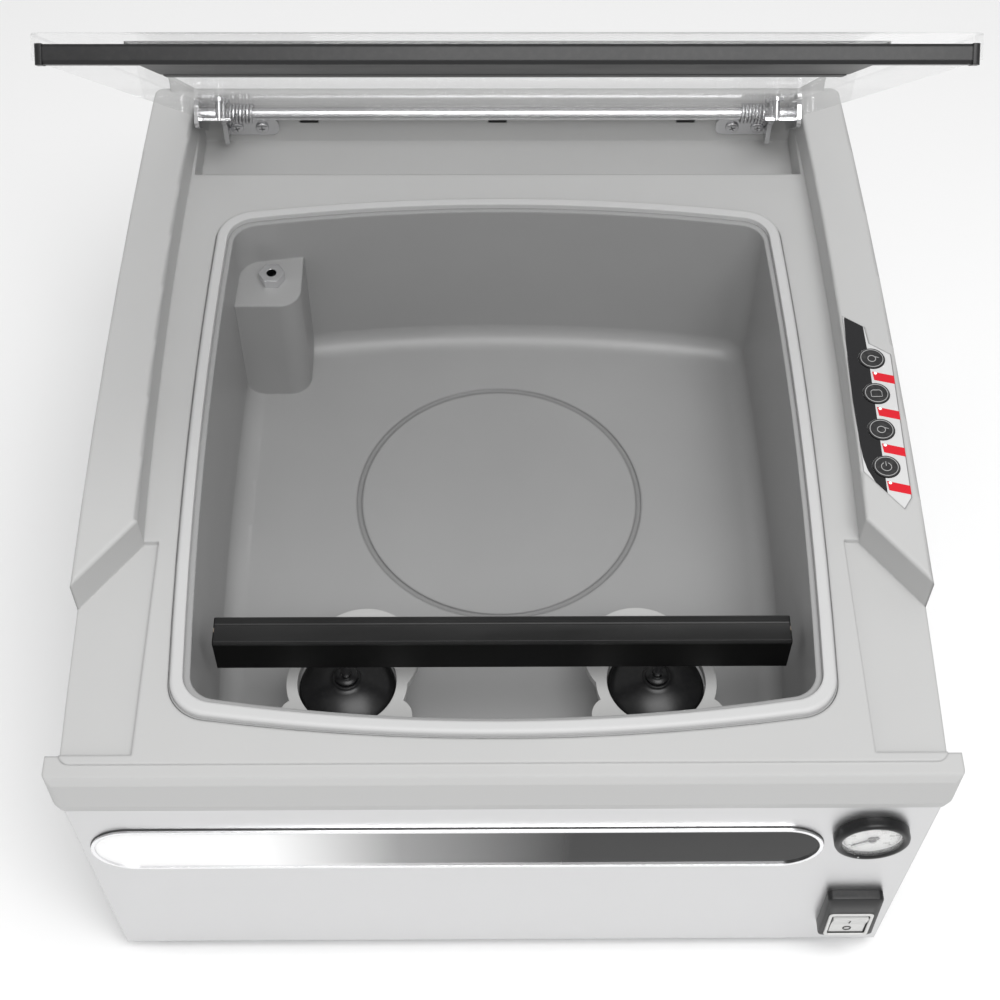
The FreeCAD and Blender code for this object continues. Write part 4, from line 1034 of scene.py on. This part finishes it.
def make_keypad_tabs():
    """Red tab in front of each button, running to the right."""
    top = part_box("control_film")[1].z
    thick = settings().detail.print_height
    low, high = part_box(BUTTONS[0])
    radius = (high.x - low.x) / 2
    tabs = []
    for name in BUTTONS:
        centre = centre_of(name)
        front = centre.y - radius - 0.9 * MM
        outline = [(centre.x - 1.0 * MM, front - 1.4 * MM), (centre.x - 0.6 * MM, front - 7.4 * MM),
                   (centre.x + 11.6 * MM, front - 10.6 * MM), (centre.x + 11.6 * MM, front - 4.8 * MM)]
        tabs.append(slab("tab", outline, top, top + 2 * thick, "print_red"))
    settle(joined("keypad_tabs", tabs), "machine", "button_plastic")


def arc_points(centre, radius, first, last, height, steps=32):
    """Points of a level arc; angles run anticlockwise from +X, in degrees."""
    angles = [math.radians(first + (last - first) * step / steps) for step in range(steps + 1)]
    return [Vector((centre.x + radius * math.cos(a), centre.y + radius * math.sin(a), height))
            for a in angles]


def symbol_lines(index, centre, height):
    """Generic sign on a button as lists of points: power, seal, air and vacuum."""
    size = 2.7 * MM
    if index == 0:
        return [arc_points(centre, size, 115, 425, height),
                [Vector((centre.x, centre.y + size * 1.25, height)),
                 Vector((centre.x, centre.y + size * 0.2, height))]]
    if index == 2:
        bag = ((-1.1, -0.8), (1.1, -0.8), (1.1, 0.5), (0.7, 0.9), (-0.7, 0.9), (-1.1, 0.5), (-1.1, -0.8))
        return [[Vector((centre.x + size * x, centre.y + size * y, height)) for x, y in bag]]
    return [arc_points(centre, size * 0.8, 0, 360, height),
            [Vector((centre.x + size * 0.6, centre.y + size * 0.5, height)),
             Vector((centre.x + size * 1.5, centre.y + size * 0.2, height))]]


def make_button_faces():
    """Thin ring near the rim of each button and its sign."""
    width = settings().detail.ring_width
    for index, name in enumerate(BUTTONS):
        low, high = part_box(name)
        centre = (low + high) / 2
        radius = (high.x - low.x) / 2
        ring = bead("ring", arc_points(centre, radius - 0.9 * MM, 0, 352, high.z - 0.05 * MM, 48),
                    width / 2, "print_grey", closed=True, sides=6)
        lines = [bead("sign", points, width / 2, "print_grey", sides=6)
                 for points in symbol_lines(index, centre, high.z - 0.35 * MM)]
        settle(joined("button_sign_%d" % (index + 1), [ring] + lines), name, "button_plastic")


def make_pilot_lenses():
    """Domed lenses in place of the plain ones."""
    domes = []
    for points in solids_of("pilot_lights"):
        low, high = box_of(points)
        radius = 0.75 * (high.x - low.x) / 2
        centre = Vector(((low.x + high.x) / 2, (low.y + high.y) / 2, high.z))
        profile = [(0.0, -0.6 * MM), (radius, -0.6 * MM), (radius, 0.0), (radius * 0.8, 0.25 * MM),
                   (radius * 0.4, 0.4 * MM), (0.0, 0.45 * MM)]
        domes.append(turned("dome", profile, centre, (0, 0, 1), "light_lens", 24))
    settle(joined("pilot_lenses", domes), "machine", "light_lens", "pilot_lights")


class PACKER_OT_keypad(Operator):
    """Print the keypad film and finish its buttons and lights"""

    bl_idname = "packer.keypad"
    bl_label = "Keypad"

    def execute(self, context):
        make_keypad_print()
        make_keypad_tabs()
        make_button_faces()
        make_pilot_lenses()
        return {"FINISHED"}


# ---- sealing bar ---------------------------------------------------------------------
def make_bellows():
    """Black rubber bellows with soft folds and a domed crown."""
    folds = 4
    bells = []
    for points in solids_of("lift_bellows"):
        low, high = box_of(points)
        centre = Vector(((low.x + high.x) / 2, (low.y + high.y) / 2, low.z))
        outer = (high.x - low.x) / 2
        tall = high.z - low.z
        crown = tall * 0.24
        skirt = tall - crown
        profile = [(0.0, 0.0), (outer - 2 * MM, 0.0)]
        for fold in range(folds):
            base = skirt * fold / folds
            pitch = skirt / folds
            profile += [(outer - 0.6 * MM, base + pitch * 0.12), (outer, base + pitch * 0.35),
                        (outer, base + pitch * 0.65), (outer - 0.6 * MM, base + pitch * 0.88),
                        (outer - 2.2 * MM, base + pitch)]
        profile += [(outer * share, skirt + crown * rise) for share, rise in
                    ((0.93, 0.16), (0.84, 0.34), (0.70, 0.55), (0.54, 0.72), (0.38, 0.84), (0.31, 0.87))]
        profile += [(0.29 * outer, tall - 0.9 * MM), (0.27 * outer, tall), (0.235 * outer, tall),
                    (0.222 * outer, tall - 0.8 * MM), (0.222 * outer, tall - 9 * MM), (0.0, tall - 9 * MM)]
        bells.append(turned("bell", profile, centre, (0, 0, 1), "foot_rubber", 72))
    settle(joined("bellows", bells), "machine", "foot_rubber", "lift_bellows")


def make_pin_guides():
    """Black rubber rings where the pins of the sealing bar enter the bellows."""
    guides = []
    for points in solids_of("pin_sockets"):
        low, high = box_of(points)
        centre = Vector(((low.x + high.x) / 2, (low.y + high.y) / 2, high.z))
        outer = (high.x - low.x) / 2 + 0.4 * MM
        bore = 2.8 * MM
        profile = [(bore, 0.1 * MM), (outer, 0.1 * MM), (outer, 0.9 * MM), (outer - 1.0 * MM, 1.7 * MM),
                   (bore + 1.0 * MM, 2.3 * MM), (bore, 2.1 * MM)]
        guides.append(turned("guide", profile, centre, (0, 0, 1), "foot_rubber", 48))
    settle(joined("pin_guides", guides), "machine", "foot_rubber")


def make_bar_tape():
    """Cloth tape over the top of the bar, raised along the wire and folded over both edges."""
    low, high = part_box("sealing_bar_body")
    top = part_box("seal_tape")[1].z
    middle = high.y - 0.28 * (high.y - low.y)
    half = 0.7 * MM
    hump = 0.45 * MM
    upper = [(high.y + 0.15 * MM, top - 4 * MM), (high.y + 0.15 * MM, top - 1.3 * MM),
             (high.y - 0.9 * MM, top), (middle + 2 * half, top), (middle + half, top + hump * 0.7),
             (middle, top + hump), (middle - half, top + hump * 0.7), (middle - 2 * half, top),
             (low.y + 0.9 * MM, top), (low.y - 0.15 * MM, top - 1.2 * MM),
             (low.y - 0.15 * MM, top - 2.4 * MM)]
    under = [(y + (0.12 * MM if y < (low.y + high.y) / 2 else -0.12 * MM), z - 0.14 * MM)
             for y, z in upper]
    section = upper + list(reversed(under))
    mesh = bmesh.new()
    steps = 24
    inset = 0.6 * MM
    loops = []
    for step in range(steps + 1):
        x = low.x + inset + (high.x - low.x - 2 * inset) * step / steps
        loops.append([Vector((x, y, z)) for y, z in section])
    loft(mesh, loops)
    tape = object_from("bar_tape", mesh, "tape_film")
    settle(tape, "sealing_bar", "tape_film", "seal_tape")


def make_bar_ends():
    """Terminal clamps of the heating wire at both ends of the bar."""
    low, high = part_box("sealing_bar_body")
    clamps = []
    for side, face in ((-1, low.x), (1, high.x)):
        outline = rounded_rectangle(0.35 * (high.y - low.y), 3.6 * MM, 1.2 * MM, 4)
        centre_y = (low.y + high.y) / 2
        steps = ((-0.4 * MM, 1.0), (0.0, 1.0), (0.35 * MM, 0.86))
        mesh = bmesh.new()
        loft(mesh, [[Vector((face + side * depth, centre_y + a * share, high.z - 6 * MM + b * share))
                     for a, b in outline] for depth, share in steps])
        clamps.append(object_from("clamp", mesh, "bar_resin"))
    settle(joined("bar_clamps", clamps), "sealing_bar", "bar_resin")


class PACKER_OT_sealing_bar(Operator):
    """Build the tape and clamps of the sealing bar and the bellows under it"""

    bl_idname = "packer.sealing_bar"
    bl_label = "Sealing bar"

    def execute(self, context):
        make_bellows()
        make_pin_guides()
        make_bar_tape()
        make_bar_ends()
        return {"FINISHED"}


# ---- switch --------------------------------------------------------------------------
def make_switch_frame():
    """Rounded hood of the switch with its opening for the rocker."""
    low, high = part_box("switch_housing")
    rocker_low, rocker_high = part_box("power_rocker")
    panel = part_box("front_panel")[0].y
    centre_x = (low.x + high.x) / 2
    centre_z = (low.z + high.z) / 2
    half_x = (high.x - low.x) / 2
    half_z = (high.z - low.z) / 2
    proud = panel - low.y
    open_x = (rocker_high.x - rocker_low.x) / 2 + 0.5 * MM
    swing = 0.6 * MM
    open_z = (rocker_high.z - rocker_low.z) / 2 + swing + 0.4 * MM
    rocker_centre = (rocker_low.z + rocker_high.z) / 2 + swing

    def face(z):
        """Depth of the sloping face at a height."""
        share = (z - low.z) / (high.z - low.z)
        return low.y + proud * (0.02 + 0.28 * share * share)

    def ring(share_x, share_z, depth, radius):
        """Loop round the hood, flush with the face or some way behind it."""
        return [Vector((centre_x + x, min(panel, face(centre_z + z) + depth), centre_z + z))
                for x, z in rounded_rectangle(half_x * share_x, half_z * share_z, radius)]

    def opening(grow, depth, radius):
        """Loop round the opening."""
        return [Vector((centre_x + x, face(rocker_centre + z) + depth, rocker_centre + z))
                for x, z in rounded_rectangle(open_x + grow, open_z + grow, radius)]

    back = [Vector((point.x, panel, point.z)) for point in ring(1.0, 1.0, 0.0, 3.0 * MM)]
    mesh = bmesh.new()
    loft(mesh, [back, ring(1.0, 1.0, 1.2 * MM, 3.0 * MM), ring(0.975, 0.985, 0.35 * MM, 2.8 * MM),
                ring(0.93, 0.955, 0.0, 2.4 * MM), opening(0.7 * MM, 0.0, 1.6 * MM),
                opening(0.2 * MM, 0.3 * MM, 1.2 * MM), opening(0.0, 1.0 * MM, 1.0 * MM),
                opening(0.0, proud + 6 * MM, 1.0 * MM)])
    hood = object_from("switch_hood", mesh, "black_plastic")
    settle(hood, "machine", "black_plastic", "switch_housing")
    rim = bmesh.new()
    lift = 0.5 * MM
    loft(rim, [opening(2.3 * MM, 0.1 * MM, 2.4 * MM), opening(2.1 * MM, -lift, 2.3 * MM),
               opening(0.5 * MM, -lift, 1.4 * MM), opening(0.25 * MM, 0.1 * MM, 1.2 * MM)],
         cap_start=False, cap_end=False, closed=True)
    settle(object_from("switch_rim", rim, "rocker_plastic"), "machine", "rocker_plastic")


def make_rocker_signs():
    """Line on the upper half of the rocker and ring on its lower half."""
    low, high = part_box("power_rocker")
    centre_x = (low.x + high.x) / 2
    middle = (low.z + high.z) / 2
    reach = (high.z - low.z) / 4
    width = 0.42 * MM
    line = [(centre_x, middle + reach * share) for share in (0.55, 1.0, 1.45)]
    ring = [(centre_x + 2.1 * MM * math.cos(2 * math.pi * step / 24),
             middle - reach + 2.1 * MM * math.sin(2 * math.pi * step / 24)) for step in range(24)]
    pieces = []
    for points, closed in ((line, False), (ring, True)):
        placed = [Vector((x, face_depth("power_rocker", x, z) - 0.05 * MM, z)) for x, z in points]
        pieces.append(bead("sign", placed, width, "print_dark", closed=closed, sides=6))
    settle(joined("rocker_signs", pieces), "power_rocker", "needle_black")


class PACKER_OT_switch(Operator):
    """Build the hood of the power switch and the signs on its rocker"""

    bl_idname = "packer.switch"
    bl_label = "Power switch"

    def execute(self, context):
        make_switch_frame()
        make_rocker_signs()
        return {"FINISHED"}


# ---- screws and springs --------------------------------------------------------------
HEAD_HEIGHT = 2.2 * MM


def screw_head(name, radius, tall):
    """Pan head with a cross recess, standing on the origin along +Z."""
    profile = [(0.0, -0.3 * MM), (radius * 0.55, -0.3 * MM), (radius, 0.0), (radius, tall * 0.35),
               (radius * 0.93, tall * 0.65), (radius * 0.75, tall * 0.88), (radius * 0.45, tall * 0.98),
               (0.0, tall)]
    head = turned(name, profile, Vector(), (0, 0, 1), "screw_steel", 32)
    width = settings().detail.screw_recess
    reach = radius * 0.55
    blades = []
    for turn in (0, 1):
        mesh = bmesh.new()
        size = ((reach, width / 2), (width / 2, reach))[turn]
        loft(mesh, [[(x * share, y * share, z) for x, y in ((-size[0], -size[1]), (size[0], -size[1]),
                                                            (size[0], size[1]), (-size[0], size[1]))]
                    for share, z in ((0.45, tall * 0.2), (1.0, tall * 1.2))])
        blades.append(object_from("blade", mesh, "screw_steel"))
    first = carved(name, head, blades[0])
    return carved(name, first, blades[1])


def screw_row(name, places, turn, radius):
    """Screw heads at some places, all facing one way."""
    pattern = screw_head("pattern", radius, HEAD_HEIGHT)
    piece = grown(name, "Repeat at places", points_mesh(places), "screw_steel", Pattern=pattern,
                  Turn=turn)
    bpy.data.objects.remove(pattern)
    return piece


def make_panel_screws():
    """Cross-recess screws along both side panels."""
    rows = []
    for side in (-1, 1):
        places = []
        for points in solids_of("panel_screws"):
            low, high = box_of(points)
            if (low.x + high.x) * side > 0:
                seat = high.x - HEAD_HEIGHT if side > 0 else low.x + HEAD_HEIGHT
                places.append(Vector((seat, (low.y + high.y) / 2, (low.z + high.z) / 2)))
        rows.append(screw_row("row", places, (0.0, side * math.pi / 2, 0.0), 3.6 * MM))
    settle(joined("side_screws", rows), "machine", "screw_steel", "panel_screws")


def make_hinge_screws():
    """Cross-recess screws of the hinge brackets."""
    places = []
    for points in solids_of("hinge_screws"):
        low, high = box_of(points)
        places.append(Vector(((low.x + high.x) / 2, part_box("hinge_screws")[0].y + HEAD_HEIGHT,
                              (low.z + high.z) / 2)))
    row = screw_row("bracket_screws", places, (math.pi / 2, 0.0, 0.0), 4.2 * MM)
    settle(row, "machine", "screw_steel", "hinge_screws")


class PACKER_OT_screws(Operator):
    """Put cross-recess screws in the panels and hinges"""

    bl_idname = "packer.screws"
    bl_label = "Screws"

    def execute(self, context):
        make_panel_screws()
        make_hinge_screws()
        return {"FINISHED"}


def make_springs():
    """Close-wound counterbalance springs round the hinge shaft."""
    shaft_low, shaft_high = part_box("hinge_shaft")
    shaft = (shaft_high.z - shaft_low.z) / 2
    axis = (shaft_low + shaft_high) / 2
    coils = []
    for points in solids_of("hinge_springs"):
        low, high = box_of(points)
        wire = 0.95 * MM
        empty = bpy.data.meshes.new("nothing")
        coils.append(grown("coil", "Coil spring", empty, "screw_steel", Turns=7.0,
                           Radius=shaft + wire + 0.55 * MM, Length=high.x - low.x - 2 * wire, Wire=wire,
                           Start=(low.x + wire, axis.y, axis.z)))
    settle(joined("counter_springs", coils), "machine", "screw_steel", "hinge_springs")


class PACKER_OT_hinges(Operator):
    """Wind the counterbalance springs of the lid"""

    bl_idname = "packer.hinges"
    bl_label = "Hinge springs"

    def execute(self, context):
        make_springs()
        return {"FINISHED"}


# ---- rear panel and feet -------------------------------------------------------------
def make_louvres():
    """Pressed hoods beside the slots of the rear panel."""
    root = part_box("rear_panel")[1].y - 0.2 * MM
    slots = 15
    first_x = -60.5 * MM
    pitch = 9 * MM
    bottom, top = 60 * MM, 130 * MM
    fade = 2 * MM
    depth = settings().detail.louvre_depth
    section = [(0.0, 0.0), (-0.6 * MM, depth * 0.65), (-1.6 * MM, depth), (-2.6 * MM, depth * 0.8),
               (-3.4 * MM, 0.0)]
    heights = ((0.05, bottom - fade), (0.8, bottom), (1.0, bottom + fade),
               (1.0, top - fade), (0.8, top), (0.05, top + fade))
    mesh = bmesh.new()
    loft(mesh, [[Vector((x, root + y * share, z)) for x, y in section] for share, z in heights])
    hoods = grown("rear_louvres", "Repeat in a row", mesh_data("louvre", mesh), "panel_steel", Count=slots,
                  First=(first_x, 0.0, 0.0), Step=(pitch, 0.0, 0.0))
    settle(hoods, "machine", "panel_steel")


def make_slot_painted_shade():
    """Dark plates at the bottom of the three slots behind the hinge trough: painted shade in the slots."""
    cover_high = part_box("top_cover")[1]
    slot_height = cover_high.z - 34 * MM
    slot_bottom = cover_high.y - 1.2 * MM
    painted_shade_depth = 3.6 * MM
    spread = 119.7 * MM
    outline = rounded_rectangle(5.9 * MM, 1.9 * MM, 1.2 * MM, 3)
    mesh = bmesh.new()
    loft(mesh, [[Vector((x, y, slot_height + z)) for x, z in outline]
                for y in (slot_bottom, slot_bottom - painted_shade_depth)])
    # Painted shade: black plates sit at the bottom of the slots so that the slots read dark.
    painted_shade_plates = grown("slot_linings", "Repeat in a row", mesh_data("painted_shade_plate", mesh), "black_plastic", Count=3,
                    First=(-spread, 0.0, 0.0), Step=(spread, 0.0, 0.0))
    settle(painted_shade_plates, "machine", "black_plastic")


def make_trim_outline():
    """Dark joint line round the bright frame of the front plate."""
    low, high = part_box("trim_bezel")
    radius = (high.z - low.z) / 2 - 0.1 * MM
    middle = (low.z + high.z) / 2
    depth = high.y - 0.2 * MM
    points = []
    for end, turn in ((high.x - 0.1 * MM - radius, -90), (low.x + 0.1 * MM + radius, 90)):
        for step in range(25):
            angle = math.radians(turn + 180 * step / 24)
            points.append(Vector((end + radius * math.cos(angle), depth, middle + radius * math.sin(angle))))
    settle(bead("trim_outline", points, 0.55 * MM, "print_dark", closed=True), "machine", "needle_black")


class PACKER_OT_trim(Operator):
    """Draw the joint line round the front plate"""

    bl_idname = "packer.trim"
    bl_label = "Front plate"

    def execute(self, context):
        make_trim_outline()
        return {"FINISHED"}


class PACKER_OT_rear(Operator):
    """Press the louvre hoods of the rear panel and put dark plates of painted shade in the slots above it"""

    bl_idname = "packer.rear"
    bl_label = "Rear louvres"

    def execute(self, context):
        make_louvres()
        make_slot_painted_shade()
        return {"FINISHED"}


# ---- finishes and stage --------------------------------------------------------------
class PACKER_OT_finishes(Operator):
    """Make every finish and give each frame node its own"""

    bl_idname = "packer.finishes"
    bl_label = "Finishes"

    def execute(self, context):
        for maker in (make_moulded_group, make_edge_group, make_brushed_group, make_weave_group,
                      make_dust_group) + FINISH_MAKERS + TREE_MAKERS:
            maker()
        for part in frame["record"]["subparts"]:
            for slot in frame["nodes"][part["node"]].material_slots:
                slot.material = bpy.data.materials[part["material_slot"]]
        return {"FINISHED"}


def make_floor():
    """Wide pale floor under the feet."""
    mesh = bmesh.new()
    bmesh.ops.create_grid(mesh, x_segments=1, y_segments=1, size=12.0)
    floor = object_from("floor", mesh, "floor_paint")
    floor.location.z = frame_box[0].z


def make_floor_paint():
    """Even pale floor with the faintest tone."""
    graph = new_finish("floor_paint")
    colour = settings().stage.floor
    tone = graph.blend(graph.noise(3.0), shade(colour, 0.99), shade(colour, 1.0))
    close_finish(graph, Base_Color=tone, Roughness=0.6)


def soft_light(name, place, target, size, power):
    """Square area light aimed at a point."""
    lamp = bpy.data.lights.new(name, "AREA")
    lamp.energy = power
    lamp.size = size
    light = bpy.data.objects.new(name, lamp)
    light.location = place
    light.rotation_euler = (Vector(target) - Vector(place)).to_track_quat("-Z", "Y").to_euler()
    bpy.context.scene.collection.objects.link(light)


def make_daylight():
    """Even white surroundings."""
    world = bpy.data.worlds.new("daylight")
    world.use_nodes = True
    background = world.node_tree.nodes["Background"]
    background.inputs["Color"].default_value = (1.0, 1.0, 1.0, 1.0)
    background.inputs["Strength"].default_value = settings().stage.daylight
    bpy.context.scene.world = world


def make_camera():
    """Camera that looks down on the front of the open machine."""
    stage = settings().stage
    camera = bpy.data.objects.new("camera", bpy.data.cameras.new("camera"))
    camera.data.lens = stage.lens
    camera.data.clip_start = 0.05
    turn = (Matrix.Rotation(-stage.camera_turn, 4, "Z")
            @ Matrix.Rotation(math.pi / 2 - stage.camera_tilt, 4, "X")
            @ Matrix.Rotation(stage.camera_roll, 4, "Z"))
    camera.matrix_world = Matrix.Translation(stage.camera_place) @ turn
    bpy.context.scene.collection.objects.link(camera)
    bpy.context.scene.camera = camera


KEY_PLACE = (0.3, -0.8, 2.0)
FILL_PLACE = (-1.2, -1.6, 1.0)


class PACKER_OT_stage(Operator):
    """Set the floor, the lights and the camera"""

    bl_idname = "packer.stage"
    bl_label = "Stage"

    def execute(self, context):
        stage = settings().stage
        make_floor_paint()
        make_floor()
        make_daylight()
        soft_light("key_light", KEY_PLACE, (0.0, 0.0, 0.15), 1.3, stage.key)
        soft_light("fill_light", FILL_PLACE, (0.0, 0.0, 0.2), 1.0, stage.fill)
        make_camera()
        context.scene.view_settings.view_transform = "Standard"
        return {"FINISHED"}


# ---- add-on --------------------------------------------------------------------------
STEPS = (PACKER_OT_finishes, PACKER_OT_gauge, PACKER_OT_keypad, PACKER_OT_sealing_bar,
         PACKER_OT_switch, PACKER_OT_trim, PACKER_OT_screws, PACKER_OT_hinges, PACKER_OT_rear,
         PACKER_OT_stage)


class PACKER_PT_build(Panel):
    """Sidebar panel that lists every step"""

    bl_idname = "PACKER_PT_build"
    bl_label = "Vacuum packer"
    bl_space_type = "VIEW_3D"
    bl_region_type = "UI"
    bl_category = "Vacuum packer"

    def draw(self, context):
        packer = context.scene.vacuum_packer
        for step in STEPS:
            self.layout.operator(step.bl_idname)
        for group in (packer.finish, packer.detail, packer.stage):
            column = self.layout.column(align=True)
            for name in group.bl_rna.properties.keys():
                if name not in ("rna_type", "name"):
                    column.prop(group, name)


CLASSES = (FinishSettings, DetailSettings, StageSettings, PackerSettings) + STEPS + (PACKER_PT_build,)


def register():
    """Make the classes and the settings known."""
    for entry in CLASSES:
        bpy.utils.register_class(entry)
    bpy.types.Scene.vacuum_packer = PointerProperty(type=PackerSettings)


def unregister():
    """Take the classes and the settings away again."""
    del bpy.types.Scene.vacuum_packer
    for entry in reversed(CLASSES):
        bpy.utils.unregister_class(entry)


def main():
    """Build every piece in order."""
    register()
    bpy.ops.packer.finishes()
    bpy.ops.packer.gauge()
    bpy.ops.packer.keypad()
    bpy.ops.packer.sealing_bar()
    bpy.ops.packer.switch()
    bpy.ops.packer.trim()
    bpy.ops.packer.screws()
    bpy.ops.packer.hinges()
    bpy.ops.packer.rear()
    bpy.ops.packer.stage()


if __name__ == "__main__":
    main()
